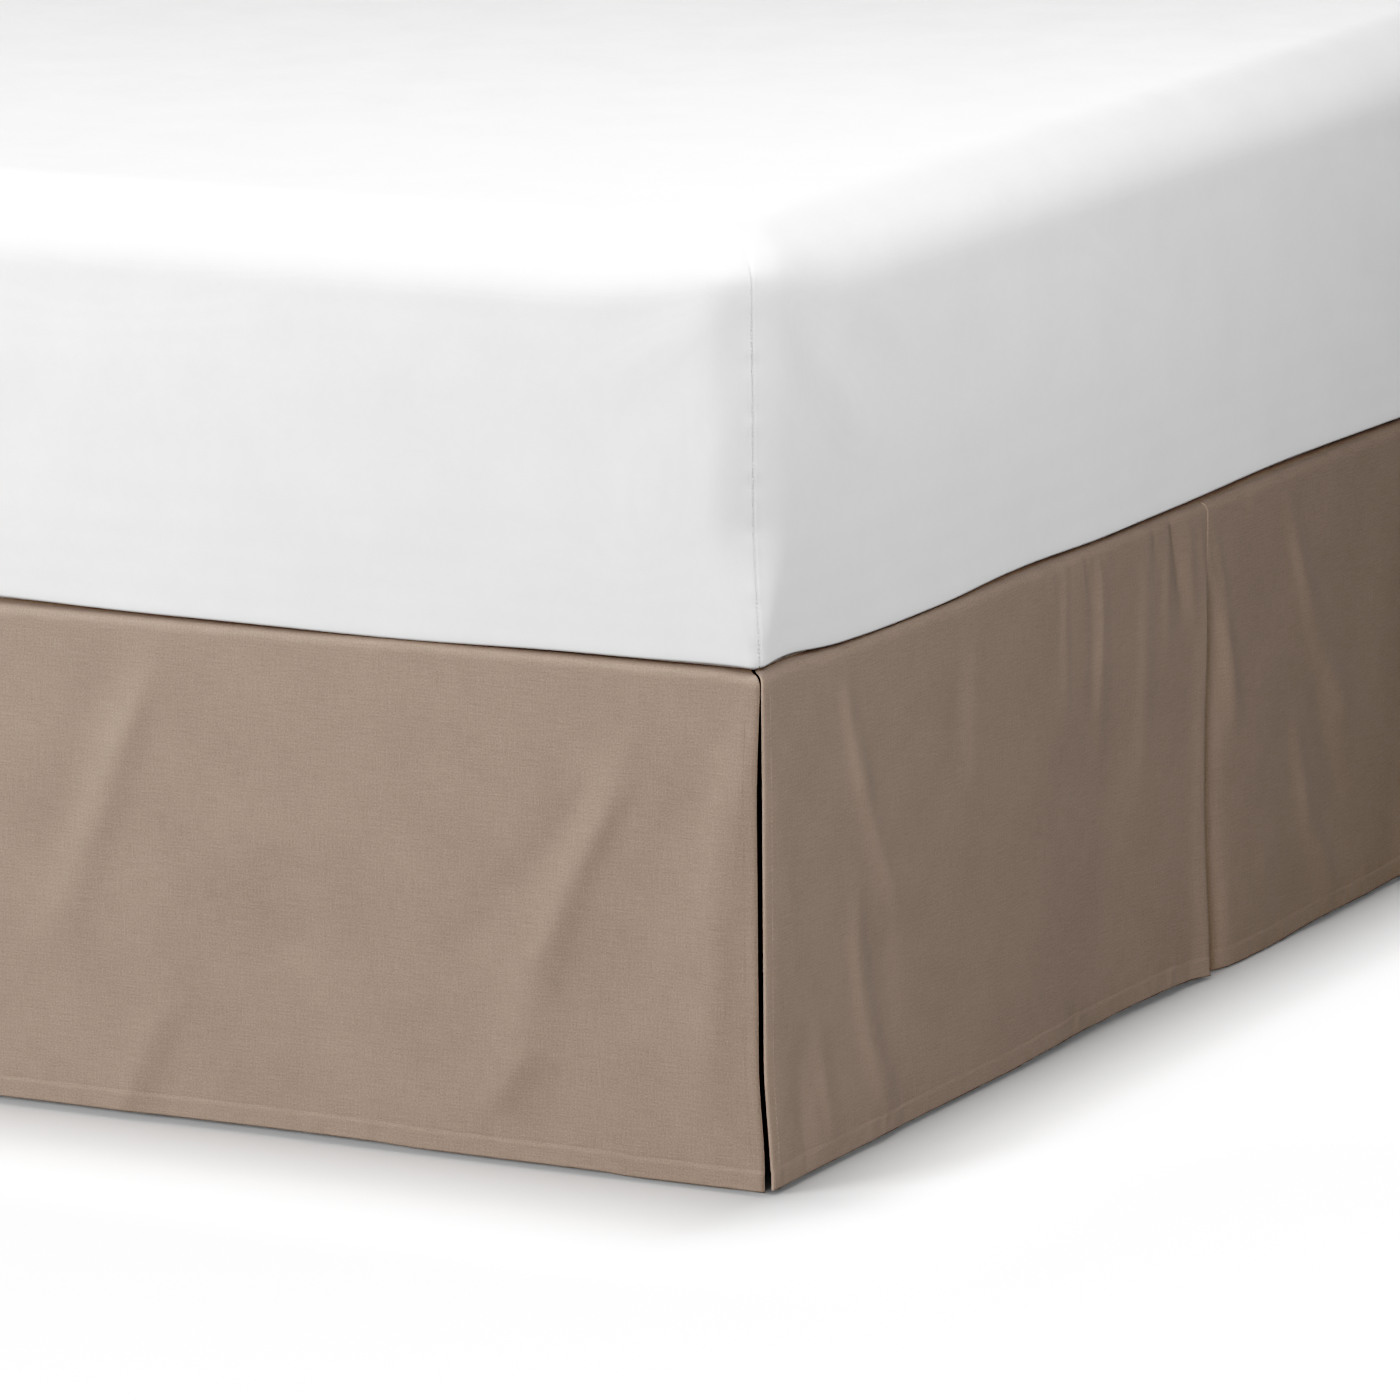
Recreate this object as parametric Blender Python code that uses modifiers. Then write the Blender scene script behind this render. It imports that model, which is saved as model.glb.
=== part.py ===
"""A tailored bed skirt on a plain queen bed, in metres, +Z up.

The origin is on the floor under the middle of the bed. The foot end faces -Y and the head +Y.
The skirt is a deck that lies between mattress and base, and three drops that bend over the
edges of the base and hang to just above the floor. Each drop is one strip of cloth, folded
back and forth at its middle into an inverted pleat. The head end is open.
"""

import math
from collections import namedtuple

import bmesh
import bpy
from mathutils import Vector

# The bed
BED_WIDTH = 1.524
BED_LENGTH = 2.032
MATTRESS_THICKNESS = 0.315
BASE_THICKNESS = 0.229
BASE_INSET = 0.012  # how far the base stands in from the cloth that hangs past it
LEG_RADIUS = 0.032
LEG_FOOT_CHAMFER = 0.003
LEG_ACROSS = 0.630
LEG_ALONG = 0.870

# The cloth
CLOTH = 0.0012
DROP = 0.381
HEM_ABOVE_FLOOR = 0.004
BEND_RADIUS = 0.014
PLEAT_TUCK = 0.075  # how deep each half of a pleat is folded under
LAYER_STEP = 0.0024  # from the middle of one layer of a pleat to the middle of the next
PLEAT_PART = 0.0040  # between the two folded edges of a pleat, turn to turn
CORNER_GAP_TOP = 0.0011
CORNER_GAP = 0.0023
CORNER_OPENS = 0.080
MITRE_REACH = 0.060
EDGE_ROLL = 0.0022  # how far the hemmed side edge of the foot drop rolls inwards
EDGE_ROLL_WIDTH = 0.008
PLEAT_BOW = 0.008  # how far the middle of a pleat's opening strays along the drop
PLEAT_BOW_DOWN = 0.225
PLEAT_BOW_HEIGHT = 0.110
PLEAT_BOW_WIDTH = 0.200

TOUCH_GAP = 0.0003  # between pieces that lie on one another
SEAM_GAP = 0.0007  # between the edge of the deck and the bent edge of a drop
BEND_STEPS = 2
TURN_STEPS = 3
TUCK_COLUMNS = 4

CLOTH_LEVEL = HEM_ABOVE_FLOOR + DROP  # the middle of the deck's thickness
BASE_TOP = CLOTH_LEVEL - CLOTH / 2 - TOUCH_GAP
BASE_BOTTOM = BASE_TOP - BASE_THICKNESS
MATTRESS_BOTTOM = CLOTH_LEVEL + CLOTH / 2 + TOUCH_GAP
HALF_WIDTH = BED_WIDTH / 2
HALF_LENGTH = BED_LENGTH / 2
SIDE_RUN = BED_LENGTH - BASE_INSET
BEND_PATH = BEND_RADIUS * math.pi / 2
STRIP_PATH = BEND_PATH + DROP - BEND_RADIUS  # from seam to hem

# A fold is a soft ridge, or with a negative rise a soft trough. It runs from its top to its
# foot, both given as millimetres along the drop from its first end and down from the seam.
# Bow is how far its middle strays along the drop, and all the other columns are millimetres.
Fold = namedtuple("Fold", "top_along top_down foot_along foot_down bow top_width foot_width rise")

FOOT_FOLDS = (
    Fold(130, 30, 162, 120, 0, 11, 14, 3.8),
    Fold(152, 100, 230, 228, -3, 13, 24, 4.4),
    Fold(146, 195, 206, 368, -14, 13, 18, 4.4),
    Fold(192, 225, 204, 320, 0, 18, 24, -2.8),
    Fold(82, 270, 104, 345, 0, 13, 15, 2.8),
    Fold(56, 285, 58, 365, 0, 16, 16, -2.0),
    Fold(348, 40, 344, 150, 0, 11, 17, 1.6),
    Fold(322, 40, 318, 140, 0, 12, 18, -1.2),
    Fold(570, 8, 574, 190, 1, 9, 15, 3.0),
    Fold(555, 6, 556, 120, 0, 8, 12, -2.0),
    Fold(648, 14, 654, 200, 0, 12, 17, 2.6),
    Fold(704, 4, 722, 90, 0, 9, 13, -2.6),
    Fold(774, 30, 816, 190, 4, 11, 19, 4.2),
    Fold(766, 130, 770, 350, 0, 9, 12, -2.4),
    Fold(920, 35, 1040, 230, -9, 12, 22, 4.4),
    Fold(936, 220, 1004, 362, -10, 12, 18, 4.0),
    Fold(972, 185, 1018, 290, 0, 16, 22, -3.6),
    Fold(580, 120, 585, 460, 0, 60, 95, -5.0),
    Fold(850, 150, 860, 460, 0, 60, 80, 2.2),
    Fold(1170, 60, 1130, 400, 6, 30, 45, -3.0),
    Fold(1262, 40, 1300, 400, -8, 20, 34, 3.4),
    Fold(1400, 30, 1372, 250, 5, 14, 24, 3.2),
    Fold(1436, 150, 1410, 400, 0, 24, 34, -2.8),
)

LEFT_FOLDS = (
    Fold(107, 60, 213, 330, 6, 13, 25, 4.0),
    Fold(140, 100, 244, 230, 0, 14, 24, -2.4),
    Fold(66, 95, 108, 270, 0, 20, 26, -2.0),
    Fold(6, 40, 44, 330, 6, 15, 20, 3.8),
    Fold(506, 40, 588, 250, 0, 14, 22, 3.4),
    Fold(540, 30, 606, 200, 0, 14, 24, -3.2),
    Fold(500, 296, 540, 390, 0, 14, 18, 2.2),
    Fold(476, 290, 500, 390, 0, 18, 22, -1.4),
    Fold(406, 170, 388, 250, 0, 24, 24, -1.6),
    Fold(400, 200, 420, 460, 0, 70, 95, -2.4),
    Fold(742, 40, 704, 300, -6, 16, 28, 3.4),
    Fold(800, 60, 764, 420, 0, 30, 42, -3.2),
    Fold(880, 25, 862, 210, 0, 14, 22, 2.6),
    Fold(958, 6, 952, 130, 0, 11, 15, 2.8),
    Fold(988, 5, 994, 100, 0, 10, 12, -2.8),
    Fold(1046, 6, 1060, 170, 0, 12, 20, 3.0),
    Fold(1150, 40, 1190, 420, 8, 24, 40, 3.0),
    Fold(1276, 90, 1262, 420, 0, 40, 55, -3.4),
    Fold(1420, 30, 1448, 300, 0, 18, 30, 3.4),
    Fold(1566, 60, 1540, 420, 0, 40, 60, -2.8),
    Fold(1690, 40, 1652, 400, -8, 22, 36, 3.4),
    Fold(1836, 40, 1880, 330, 0, 22, 34, -3.0),
    Fold(1946, 30, 1964, 400, 0, 24, 34, 3.0),
)

RIGHT_FOLDS = (
    Fold(60, 50, 128, 330, 4, 24, 34, 3.8),
    Fold(190, 60, 238, 400, 0, 36, 48, -3.2),
    Fold(360, 30, 322, 300, 0, 24, 34, 3.2),
    Fold(560, 60, 590, 420, 0, 40, 60, -3.2),
    Fold(700, 30, 742, 380, 8, 28, 40, 3.4),
    Fold(884, 60, 850, 400, 0, 36, 48, -3.0),
    Fold(966, 10, 956, 170, 0, 22, 28, 2.6),
    Fold(1058, 10, 1080, 200, 0, 22, 28, 3.0),
    Fold(1230, 60, 1262, 400, 0, 36, 50, -3.0),
    Fold(1392, 40, 1360, 360, 0, 28, 40, 3.4),
    Fold(1590, 60, 1630, 420, 0, 40, 60, -3.0),
    Fold(1772, 30, 1752, 380, 0, 28, 40, 3.4),
    Fold(1930, 60, 1950, 400, 0, 30, 40, -2.4),
)

# Columns of cloth: how far along the drop a stretch of columns ends, and how wide each one is.
Stretch = namedtuple("Stretch", "until step")
FOOT_STRETCHES = (
    Stretch(0.008, 0.008),
    Stretch(0.240, 0.020),
    Stretch(0.520, 0.028),
    Stretch(1.040, 0.022),
    Stretch(BED_WIDTH - 0.008, 0.040),
    Stretch(BED_WIDTH, 0.008),
)
LEFT_STRETCHES = (
    Stretch(0.280, 0.020),
    Stretch(0.480, 0.040),
    Stretch(0.640, 0.020),
    Stretch(SIDE_RUN, 0.040),
)
RIGHT_STRETCHES = (Stretch(SIDE_RUN, 0.046),)

# A drop starts at a corner of the bed and runs along one edge, facing outward. Rows is its rows
# of cloth below the bend, rolled says that its side hems roll inwards, and split_last that its
# far end meets another drop at a corner too.
FOOT_LEFT = (-HALF_WIDTH, -HALF_LENGTH)
FOOT_RIGHT = (HALF_WIDTH, -HALF_LENGTH)
Drop = namedtuple("Drop", "name corner along outward run folds stretches rows rolled split_last")
DROPS = (
    Drop("drop_foot", FOOT_LEFT, (1, 0), (0, -1), BED_WIDTH, FOOT_FOLDS, FOOT_STRETCHES, 10, True, True),
    Drop("drop_left", FOOT_LEFT, (0, 1), (-1, 0), SIDE_RUN, LEFT_FOLDS, LEFT_STRETCHES, 10, False, False),
    Drop("drop_right", FOOT_RIGHT, (0, 1), (1, 0), SIDE_RUN, RIGHT_FOLDS, RIGHT_STRETCHES, 8, False, False),
)

# A block's half sizes with its lowest and highest level.
Size = namedtuple("Size", "half_x half_y low high")

# How a block is rounded: the radius of its upright edges, their radius at the very bottom, the
# height over which one grows into the other, the radii below and above, and its sides' bulge.
Rounding = namedtuple("Rounding", "corner corner_foot taper bottom top bulge")
MATTRESS_ROUNDING = Rounding(0.045, 0.014, 0.110, 0.012, 0.060, 0.002)
BASE_ROUNDING = Rounding(0.012, 0.012, 0.050, 0.012, 0.022, 0.0)


def ease(share):
    """A smooth step from 0 to 1."""
    share = min(max(share, 0.0), 1.0)
    return share * share * (3 - 2 * share)


def make_material(name, color, roughness):
    material = bpy.data.materials.new(name)
    material.use_nodes = True
    shader = material.node_tree.nodes["Principled BSDF"]
    shader.inputs["Base Color"].default_value = (*color, 1.0)
    shader.inputs["Roughness"].default_value = roughness
    shader.inputs["Metallic"].default_value = 0.0
    material.diffuse_color = (*color, 1.0)
    return material


def add_object(mesh_source, name, collection, material):
    """Turn a bmesh into an object of the collection, in the material."""
    bmesh.ops.recalc_face_normals(mesh_source, faces=mesh_source.faces)
    mesh = bpy.data.meshes.new(name)
    mesh_source.to_mesh(mesh)
    mesh_source.free()
    mesh.materials.append(material)
    mesh.shade_smooth()
    mesh.set_sharp_from_angle(angle=math.radians(40))
    made = bpy.data.objects.new(name, mesh)
    collection.objects.link(made)
    return made


def pleat_bow(past, down):
    """How far back along the drop the cloth beside a pleat strays, most at its middle height."""
    level = math.exp(-(((down - PLEAT_BOW_DOWN) / PLEAT_BOW_HEIGHT) ** 2))
    return PLEAT_BOW * level * math.exp(-((past / PLEAT_BOW_WIDTH) ** 2))


def fold_rise(fold, along_mm, down_mm):
    """How far one fold lifts the cloth at a point of the drop, in millimetres."""
    share = (down_mm - fold.top_down) / (fold.foot_down - fold.top_down)
    fade = ease((share + 0.15) / 0.35) * ease((1.15 - share) / 0.35)
    if fade == 0:
        return 0.0
    share = min(max(share, 0.0), 1.0)
    middle = fold.top_along + (fold.foot_along - fold.top_along) * share + 4 * fold.bow * share * (1 - share)
    width = fold.top_width + (fold.foot_width - fold.top_width) * share
    return fold.rise * fade * math.exp(-(((along_mm - middle) / width) ** 2))


def end_gap(down):
    """How far a drop's end stands off its corner: nearly shut at the top, open below."""
    return CORNER_GAP_TOP + (CORNER_GAP - CORNER_GAP_TOP) * ease(down / CORNER_OPENS)


def front_stations(stretches, first, last):
    """Distances along the drop for the columns from one place to another, both included."""
    stations = [first]
    for stretch in stretches:
        here = stations[-1]
        there = min(stretch.until, last)
        if there - here < stretch.step / 2:
            continue
        count = round((there - here) / stretch.step)
        stations += [here + (there - here) * (i + 1) / count for i in range(count)]
    stations[-1] = last
    return stations


def turn(along, tuck, way):
    """A half turn of the strip, from one layer to the next one in, seen from above."""
    radius = LAYER_STEP / 2
    angles = [math.pi * i / TURN_STEPS for i in range(1, TURN_STEPS)]
    around = [(radius * math.sin(angle), radius * (1 - math.cos(angle))) for angle in angles]
    return [(along + way * across, tuck + inward) for across, inward in around]


def pleat_half():
    """Half of the pleat as (distance from its middle, tuck), from its front to its back layer."""
    near = PLEAT_PART / 2
    outwards = [near + (PLEAT_TUCK - near) * i / TUCK_COLUMNS for i in range(TUCK_COLUMNS + 1)]
    front = [(off, 0.0) for off in reversed(outwards)]
    under = [(off, LAYER_STEP) for off in outwards]
    back = [(off, 2 * LAYER_STEP) for off in reversed(outwards)]
    return front + turn(near, 0.0, -1) + under + turn(PLEAT_TUCK, LAYER_STEP, 1) + back


def pleated_columns(drop):
    """The whole strip seen from above, as (distance along the drop, how far it is tucked in)."""
    centre = drop.run / 2
    first = front_stations(drop.stretches, 0.0, centre - PLEAT_TUCK)
    last = front_stations(drop.stretches, centre + PLEAT_TUCK, drop.run)
    half = pleat_half()
    columns = [(along, 0.0) for along in first[:-1]]
    columns += [(centre - off, tuck) for off, tuck in half]
    columns += [(centre + off, tuck) for off, tuck in reversed(half)]
    return columns + [(along, 0.0) for along in last[1:]]


def cloth_point(drop, along, tuck, path):
    """A point of the drop: along it, tucked in behind its front, and down its path from the seam."""
    if path < BEND_PATH:
        slope = path / BEND_RADIUS
        outward = BEND_RADIUS * (math.sin(slope) - 1)
        down = BEND_RADIUS * (1 - math.cos(slope))
    else:
        slope = math.pi / 2
        outward = 0.0
        down = path - BEND_PATH + BEND_RADIUS
    # The ends draw in from their corners: as a mitre where the cloth bends, as a slit below it.
    draw_in = end_gap(down) - outward
    near_end = max(0.0, 1 - along / MITRE_REACH)
    far_end = max(0.0, 1 - (drop.run - along) / MITRE_REACH) if drop.split_last else 0.0
    place = along + draw_in * (near_end - far_end) - pleat_bow(along - drop.run / 2, down)
    lift = sum(fold_rise(fold, along * 1000, down * 1000) for fold in drop.folds) / 1000
    if drop.rolled:
        from_end = min(along, drop.run - along)
        lift -= EDGE_ROLL * max(0.0, 1 - from_end / EDGE_ROLL_WIDTH) ** 2
    lift = lift * ease(path / BEND_PATH) - tuck
    out = outward + lift * math.sin(slope)
    x = drop.corner[0] + drop.along[0] * place + drop.outward[0] * out
    y = drop.corner[1] + drop.along[1] * place + drop.outward[1] * out
    return Vector((x, y, CLOTH_LEVEL - down + lift * math.cos(slope)))


def split_alike(strip, drop):
    """Split the quads so that layers on top of one another have the same diagonals."""
    run = Vector((*drop.along, 0))
    for face in list(strip.faces):
        first, second, third, fourth = [point.co.dot(run) for point in face.verts]
        backwards = first + fourth > second + third
        method = "ALTERNATE" if backwards else "FIXED"
        bmesh.ops.triangulate(strip, faces=[face], quad_method=method)


def build_drop(drop, collection, material):
    columns = pleated_columns(drop)
    paths = [BEND_PATH * i / BEND_STEPS for i in range(BEND_STEPS)]
    paths += [BEND_PATH + (STRIP_PATH - BEND_PATH) * i / drop.rows for i in range(drop.rows + 1)]
    strip = bmesh.new()
    bmesh.ops.create_grid(strip, x_segments=len(columns) - 1, y_segments=len(paths) - 1, size=0.5)
    for point in strip.verts:
        column = round((point.co.x + 0.5) * (len(columns) - 1))
        row = round((0.5 - point.co.y) * (len(paths) - 1))
        along, tuck = columns[column]
        point.co = cloth_point(drop, along, tuck, paths[row])
    split_alike(strip, drop)
    made = add_object(strip, drop.name, collection, material)
    thicken(made)
    return made


def thicken(made):
    shell = made.modifiers.new("cloth thickness", "SOLIDIFY")
    shell.thickness = CLOTH
    shell.offset = 0.0
    shell.use_even_offset = True
    return shell


def build_deck(collection, material):
    """The platform sheet, cut to the seams of the three drops and to the head end of the base."""
    seam = BEND_RADIUS + SEAM_GAP
    head = HALF_LENGTH - BASE_INSET
    sheet = bmesh.new()
    bmesh.ops.create_grid(sheet, x_segments=1, y_segments=1, size=0.5)
    for point in sheet.verts:
        across = 2 * point.co.x * (HALF_WIDTH - seam)
        along = head if point.co.y > 0 else seam - HALF_LENGTH
        point.co = (across, along, CLOTH_LEVEL)
    made = add_object(sheet, "deck", collection, material)
    thicken(made)
    return made


def slice_block(block, place, facing):
    """Cut every face of the block along one plane."""
    everything = block.verts[:] + block.edges[:] + block.faces[:]
    bmesh.ops.bisect_plane(block, geom=everything, plane_co=place, plane_no=facing)


def rounded_block(size, rounding):
    """A block with round upright edges and rounded top and bottom edges, from a sliced cube."""
    bottom_levels = [size.low + rounding.bottom * (1 - math.cos(math.pi / 4 * i)) for i in (1, 2)]
    top_levels = [size.high - rounding.top * (1 - math.sin(math.pi / 8 * i)) for i in range(4)]
    middle_levels = [size.low + (size.high - size.low) * share for share in (0.18, 0.36, 0.58)]
    block = bmesh.new()
    bmesh.ops.create_cube(block, size=1.0)
    for point in block.verts:
        level = size.low + (size.high - size.low) * (point.co.z + 0.5)
        point.co = (2 * size.half_x * point.co.x, 2 * size.half_y * point.co.y, level)
    for level in bottom_levels + middle_levels + top_levels:
        slice_block(block, (0, 0, level), (0, 0, 1))
    for share in (-0.5, 0.0, 0.5):
        slice_block(block, (size.half_x * share, 0, 0), (1, 0, 0))
        slice_block(block, (0, size.half_y * share, 0), (0, 1, 0))
    for inset in (0.45 * rounding.corner, rounding.corner):
        for side in (-1, 1):
            slice_block(block, (side * (size.half_x - inset), 0, 0), (1, 0, 0))
            slice_block(block, (0, side * (size.half_y - inset), 0), (0, 1, 0))
    for point in block.verts:
        point.co = rounded_place(point.co, size, rounding)
    return block


def rounded_place(place, size, rounding):
    """Where a point of the sliced cube goes once the block is rounded."""
    half_x, half_y, low, high = size
    bottom, top = rounding.bottom, rounding.top
    taper = ease((place.z - low) / rounding.taper)
    corner = rounding.corner_foot + (rounding.corner - rounding.corner_foot) * taper
    core_x = min(max(place.x, corner - half_x), half_x - corner)
    core_y = min(max(place.y, corner - half_y), half_y - corner)
    off_x = place.x - core_x
    off_y = place.y - core_y
    length = math.hypot(off_x, off_y)
    if length > 0:
        scale = max(abs(off_x), abs(off_y)) / length
        off_x *= scale
        off_y *= scale
    inset = 0.0
    if place.z < low + bottom:
        rise = (low + bottom - place.z) / bottom
        inset = bottom * (1 - math.sqrt(max(0.0, 1 - rise * rise)))
    if place.z > high - top:
        rise = (place.z - high + top) / top
        inset = top * (1 - math.sqrt(max(0.0, 1 - rise * rise)))
    swell = rounding.bulge * math.sin(math.pi * (place.z - low) / (high - low)) - inset
    x = (core_x + off_x) * (1 + swell / half_x)
    y = (core_y + off_y) * (1 + swell / half_y)
    return Vector((x, y, place.z))


def build_mattress(collection, material):
    size = Size(HALF_WIDTH, HALF_LENGTH, MATTRESS_BOTTOM, MATTRESS_BOTTOM + MATTRESS_THICKNESS)
    return add_object(rounded_block(size, MATTRESS_ROUNDING), "mattress", collection, material)


def build_base(collection, material):
    size = Size(HALF_WIDTH - BASE_INSET, HALF_LENGTH - BASE_INSET, BASE_BOTTOM, BASE_TOP)
    return add_object(rounded_block(size, BASE_ROUNDING), "box_base", collection, material)


def build_leg(number, across, along, collection, material):
    height = BASE_BOTTOM - TOUCH_GAP
    radius = LEG_RADIUS
    post = bmesh.new()
    bmesh.ops.create_cone(post, cap_ends=True, segments=20, radius1=radius, radius2=radius, depth=height)
    rim = [edge for edge in post.edges if all(point.co.z < 0 for point in edge.verts)]
    bmesh.ops.bevel(post, geom=rim, offset=LEG_FOOT_CHAMFER, segments=1, affect="EDGES", profile=0.5)
    bmesh.ops.translate(post, vec=(across, along, height / 2), verts=post.verts)
    return add_object(post, "leg_" + str(number), collection, material)


def main():
    for old in list(bpy.data.objects):
        bpy.data.objects.remove(old)
    collection = bpy.data.collections.new("bed_skirt_on_bed")
    bpy.context.scene.collection.children.link(collection)
    skirt_cloth = make_material("taupe skirt cloth", (0.30, 0.235, 0.185), 0.85)
    deck_cloth = make_material("taupe deck cloth", (0.28, 0.22, 0.175), 0.85)
    white_cloth = make_material("white mattress cloth", (0.82, 0.82, 0.81), 0.8)
    base_cloth = make_material("dark base cloth", (0.060, 0.060, 0.064), 0.9)
    leg_wood = make_material("dark leg wood", (0.06, 0.04, 0.03), 0.45)
    build_mattress(collection, white_cloth)
    build_deck(collection, deck_cloth)
    for drop in DROPS:
        build_drop(drop, collection, skirt_cloth)
    build_base(collection, base_cloth)
    number = 0
    for along in (-LEG_ALONG, 0.0, LEG_ALONG):
        for across in (-LEG_ACROSS, LEG_ACROSS):
            number += 1
            build_leg(number, across, along, collection, leg_wood)


main()
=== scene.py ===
"""A tailored bed skirt on a plain queen bed: the cloth, seams, stitches and finishes.

The file is laid out as an add-on and is run as a script. It loads the fixed frame, builds each
piece of the bed in place with its own operator, and sets up a plain studio around it. Lengths
are in metres, +Z is up, the foot end faces -Y and the photographed long side -X.
"""

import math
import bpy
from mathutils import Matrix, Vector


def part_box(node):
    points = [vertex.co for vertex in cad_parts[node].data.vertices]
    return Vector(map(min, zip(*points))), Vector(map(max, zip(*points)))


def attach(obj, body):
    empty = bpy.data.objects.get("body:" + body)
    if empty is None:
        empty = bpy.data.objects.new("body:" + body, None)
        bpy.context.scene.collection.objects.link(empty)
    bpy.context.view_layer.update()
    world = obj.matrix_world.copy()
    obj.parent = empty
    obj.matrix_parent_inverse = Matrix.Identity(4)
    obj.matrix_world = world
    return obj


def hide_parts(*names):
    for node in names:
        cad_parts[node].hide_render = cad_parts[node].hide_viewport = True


bl_info = {
    "name": "Bed Skirt",
    "version": (1, 0, 0),
    "blender": (4, 5, 0),
    "location": "3D View > Sidebar > Bed Skirt",
    "description": "Builds a tailored, pleated bed skirt on a plain bed, and a studio for it",
    "category": "Object",
}

from collections import namedtuple

import bmesh
import bpy
import numpy as np
from bpy.props import FloatProperty, FloatVectorProperty, PointerProperty
from mathutils import Matrix, Vector

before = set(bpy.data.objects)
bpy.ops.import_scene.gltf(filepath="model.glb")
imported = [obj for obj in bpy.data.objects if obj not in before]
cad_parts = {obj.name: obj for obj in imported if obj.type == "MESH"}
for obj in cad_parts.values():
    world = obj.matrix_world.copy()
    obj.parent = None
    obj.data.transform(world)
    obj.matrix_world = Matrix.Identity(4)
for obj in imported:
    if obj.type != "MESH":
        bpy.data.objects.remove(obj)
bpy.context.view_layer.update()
MATTRESS_LOW, MATTRESS_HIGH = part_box("mattress")
BASE_LOW, BASE_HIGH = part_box("box_base")
DECK_LOW, DECK_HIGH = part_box("deck")
HEM_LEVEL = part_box("drop_foot")[0].z
HEAD_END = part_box("drop_left")[1].y

# The plain bed: half its width and length, the middle of the deck's cloth, and a millimetre.
HALF_WIDTH = 0.762
HALF_LENGTH = 1.016
SEAM_LEVEL = DECK_LOW.z + 0.0006
MM = 0.001


def table(kind, *values):
    """A table: each row of values as a tuple of the given kind."""
    return tuple(kind(*row) for row in values)


# ---------------------------------------------------------------------------------------------
# Tables of folds
# ---------------------------------------------------------------------------------------------

# A fold is a soft ridge, or with a negative rise a soft trough. It runs from its top to its
# foot, both given as millimetres along the drop from its first end and down from the seam.
# Bow is how far its middle strays along the drop, and all the other columns are millimetres.
Fold = namedtuple("Fold", "top_along top_down foot_along foot_down bow top_width foot_width rise")

FOOT_FOLDS = table(
    Fold,
    (130, 30, 162, 120, 0, 11, 14, 2.4),
    (152, 100, 230, 228, -3, 13, 24, 2.7),
    (146, 195, 206, 368, -14, 13, 18, 2.7),
    (192, 225, 204, 320, 0, 18, 24, -1.7),
    (82, 270, 104, 345, 0, 10, 12, 1.0),
    (56, 285, 58, 365, 0, 16, 16, -1.2),
    (348, 40, 344, 150, 0, 11, 17, 1.0),
    (322, 40, 318, 140, 0, 12, 18, -0.7),
    (570, 8, 574, 190, 1, 9, 15, 1.0),
    (555, 6, 556, 120, 0, 8, 12, -1.2),
    (648, 14, 654, 200, 0, 12, 17, 1.0),
    (704, 4, 722, 90, 0, 9, 13, -1.6),
    (776, 30, 818, 190, 4, 8, 13, 2.2),
    (766, 130, 770, 350, 0, 9, 12, -1.5),
    (920, 35, 1040, 230, -9, 12, 22, 2.7),
    (936, 220, 1004, 362, -10, 12, 18, 2.5),
    (972, 185, 1018, 290, 0, 16, 22, -2.2),
    (580, 120, 585, 460, 0, 60, 95, -5.0),
    (850, 150, 860, 460, 0, 60, 80, 2.2),
    (1170, 60, 1130, 400, 6, 30, 45, -3.0),
    (1262, 40, 1300, 400, -8, 20, 34, 3.4),
    (1400, 30, 1372, 250, 5, 14, 24, 3.2),
    (1436, 150, 1410, 400, 0, 24, 34, -2.8),
)

LEFT_FOLDS = table(
    Fold,
    (107, 60, 213, 330, 6, 13, 25, 2.1),
    (140, 100, 244, 230, 0, 16, 26, -1.2),
    (66, 95, 108, 270, 0, 20, 26, -1.2),
    (6, 40, 44, 330, 6, 15, 20, 2.6),
    (506, 40, 588, 250, 0, 14, 22, 2.0),
    (540, 30, 606, 200, 0, 16, 26, -1.2),
    (500, 296, 540, 390, 0, 14, 18, 1.3),
    (476, 290, 500, 390, 0, 18, 22, -0.7),
    (406, 170, 388, 250, 0, 24, 24, -1.6),
    (400, 200, 420, 460, 0, 70, 95, -2.4),
    (742, 40, 704, 300, -6, 16, 28, 3.4),
    (800, 60, 764, 420, 0, 30, 42, -3.2),
    (880, 25, 862, 210, 0, 14, 22, 2.6),
    (958, 6, 952, 130, 0, 11, 15, 2.8),
    (988, 5, 994, 100, 0, 10, 12, -2.8),
    (1046, 6, 1060, 170, 0, 12, 20, 3.0),
    (1150, 40, 1190, 420, 8, 24, 40, 3.0),
    (1276, 90, 1262, 420, 0, 40, 55, -3.4),
    (1420, 30, 1448, 300, 0, 18, 30, 3.4),
    (1566, 60, 1540, 420, 0, 40, 60, -2.8),
    (1690, 40, 1652, 400, -8, 22, 36, 3.4),
    (1836, 40, 1880, 330, 0, 22, 34, -3.0),
    (1946, 30, 1964, 400, 0, 24, 34, 3.0),
)

RIGHT_FOLDS = table(
    Fold,
    (60, 50, 128, 330, 4, 24, 34, 3.8),
    (190, 60, 238, 400, 0, 36, 48, -3.2),
    (360, 30, 322, 300, 0, 24, 34, 3.2),
    (560, 60, 590, 420, 0, 40, 60, -3.2),
    (700, 30, 742, 380, 8, 28, 40, 3.4),
    (884, 60, 850, 400, 0, 36, 48, -3.0),
    (966, 10, 956, 170, 0, 22, 28, 2.6),
    (1058, 10, 1080, 200, 0, 22, 28, 3.0),
    (1230, 60, 1262, 400, 0, 36, 50, -3.0),
    (1392, 40, 1360, 360, 0, 28, 40, 3.4),
    (1590, 60, 1630, 420, 0, 40, 60, -3.0),
    (1772, 30, 1752, 380, 0, 28, 40, 3.4),
    (1930, 60, 1950, 400, 0, 30, 40, -2.4),
)

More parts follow.
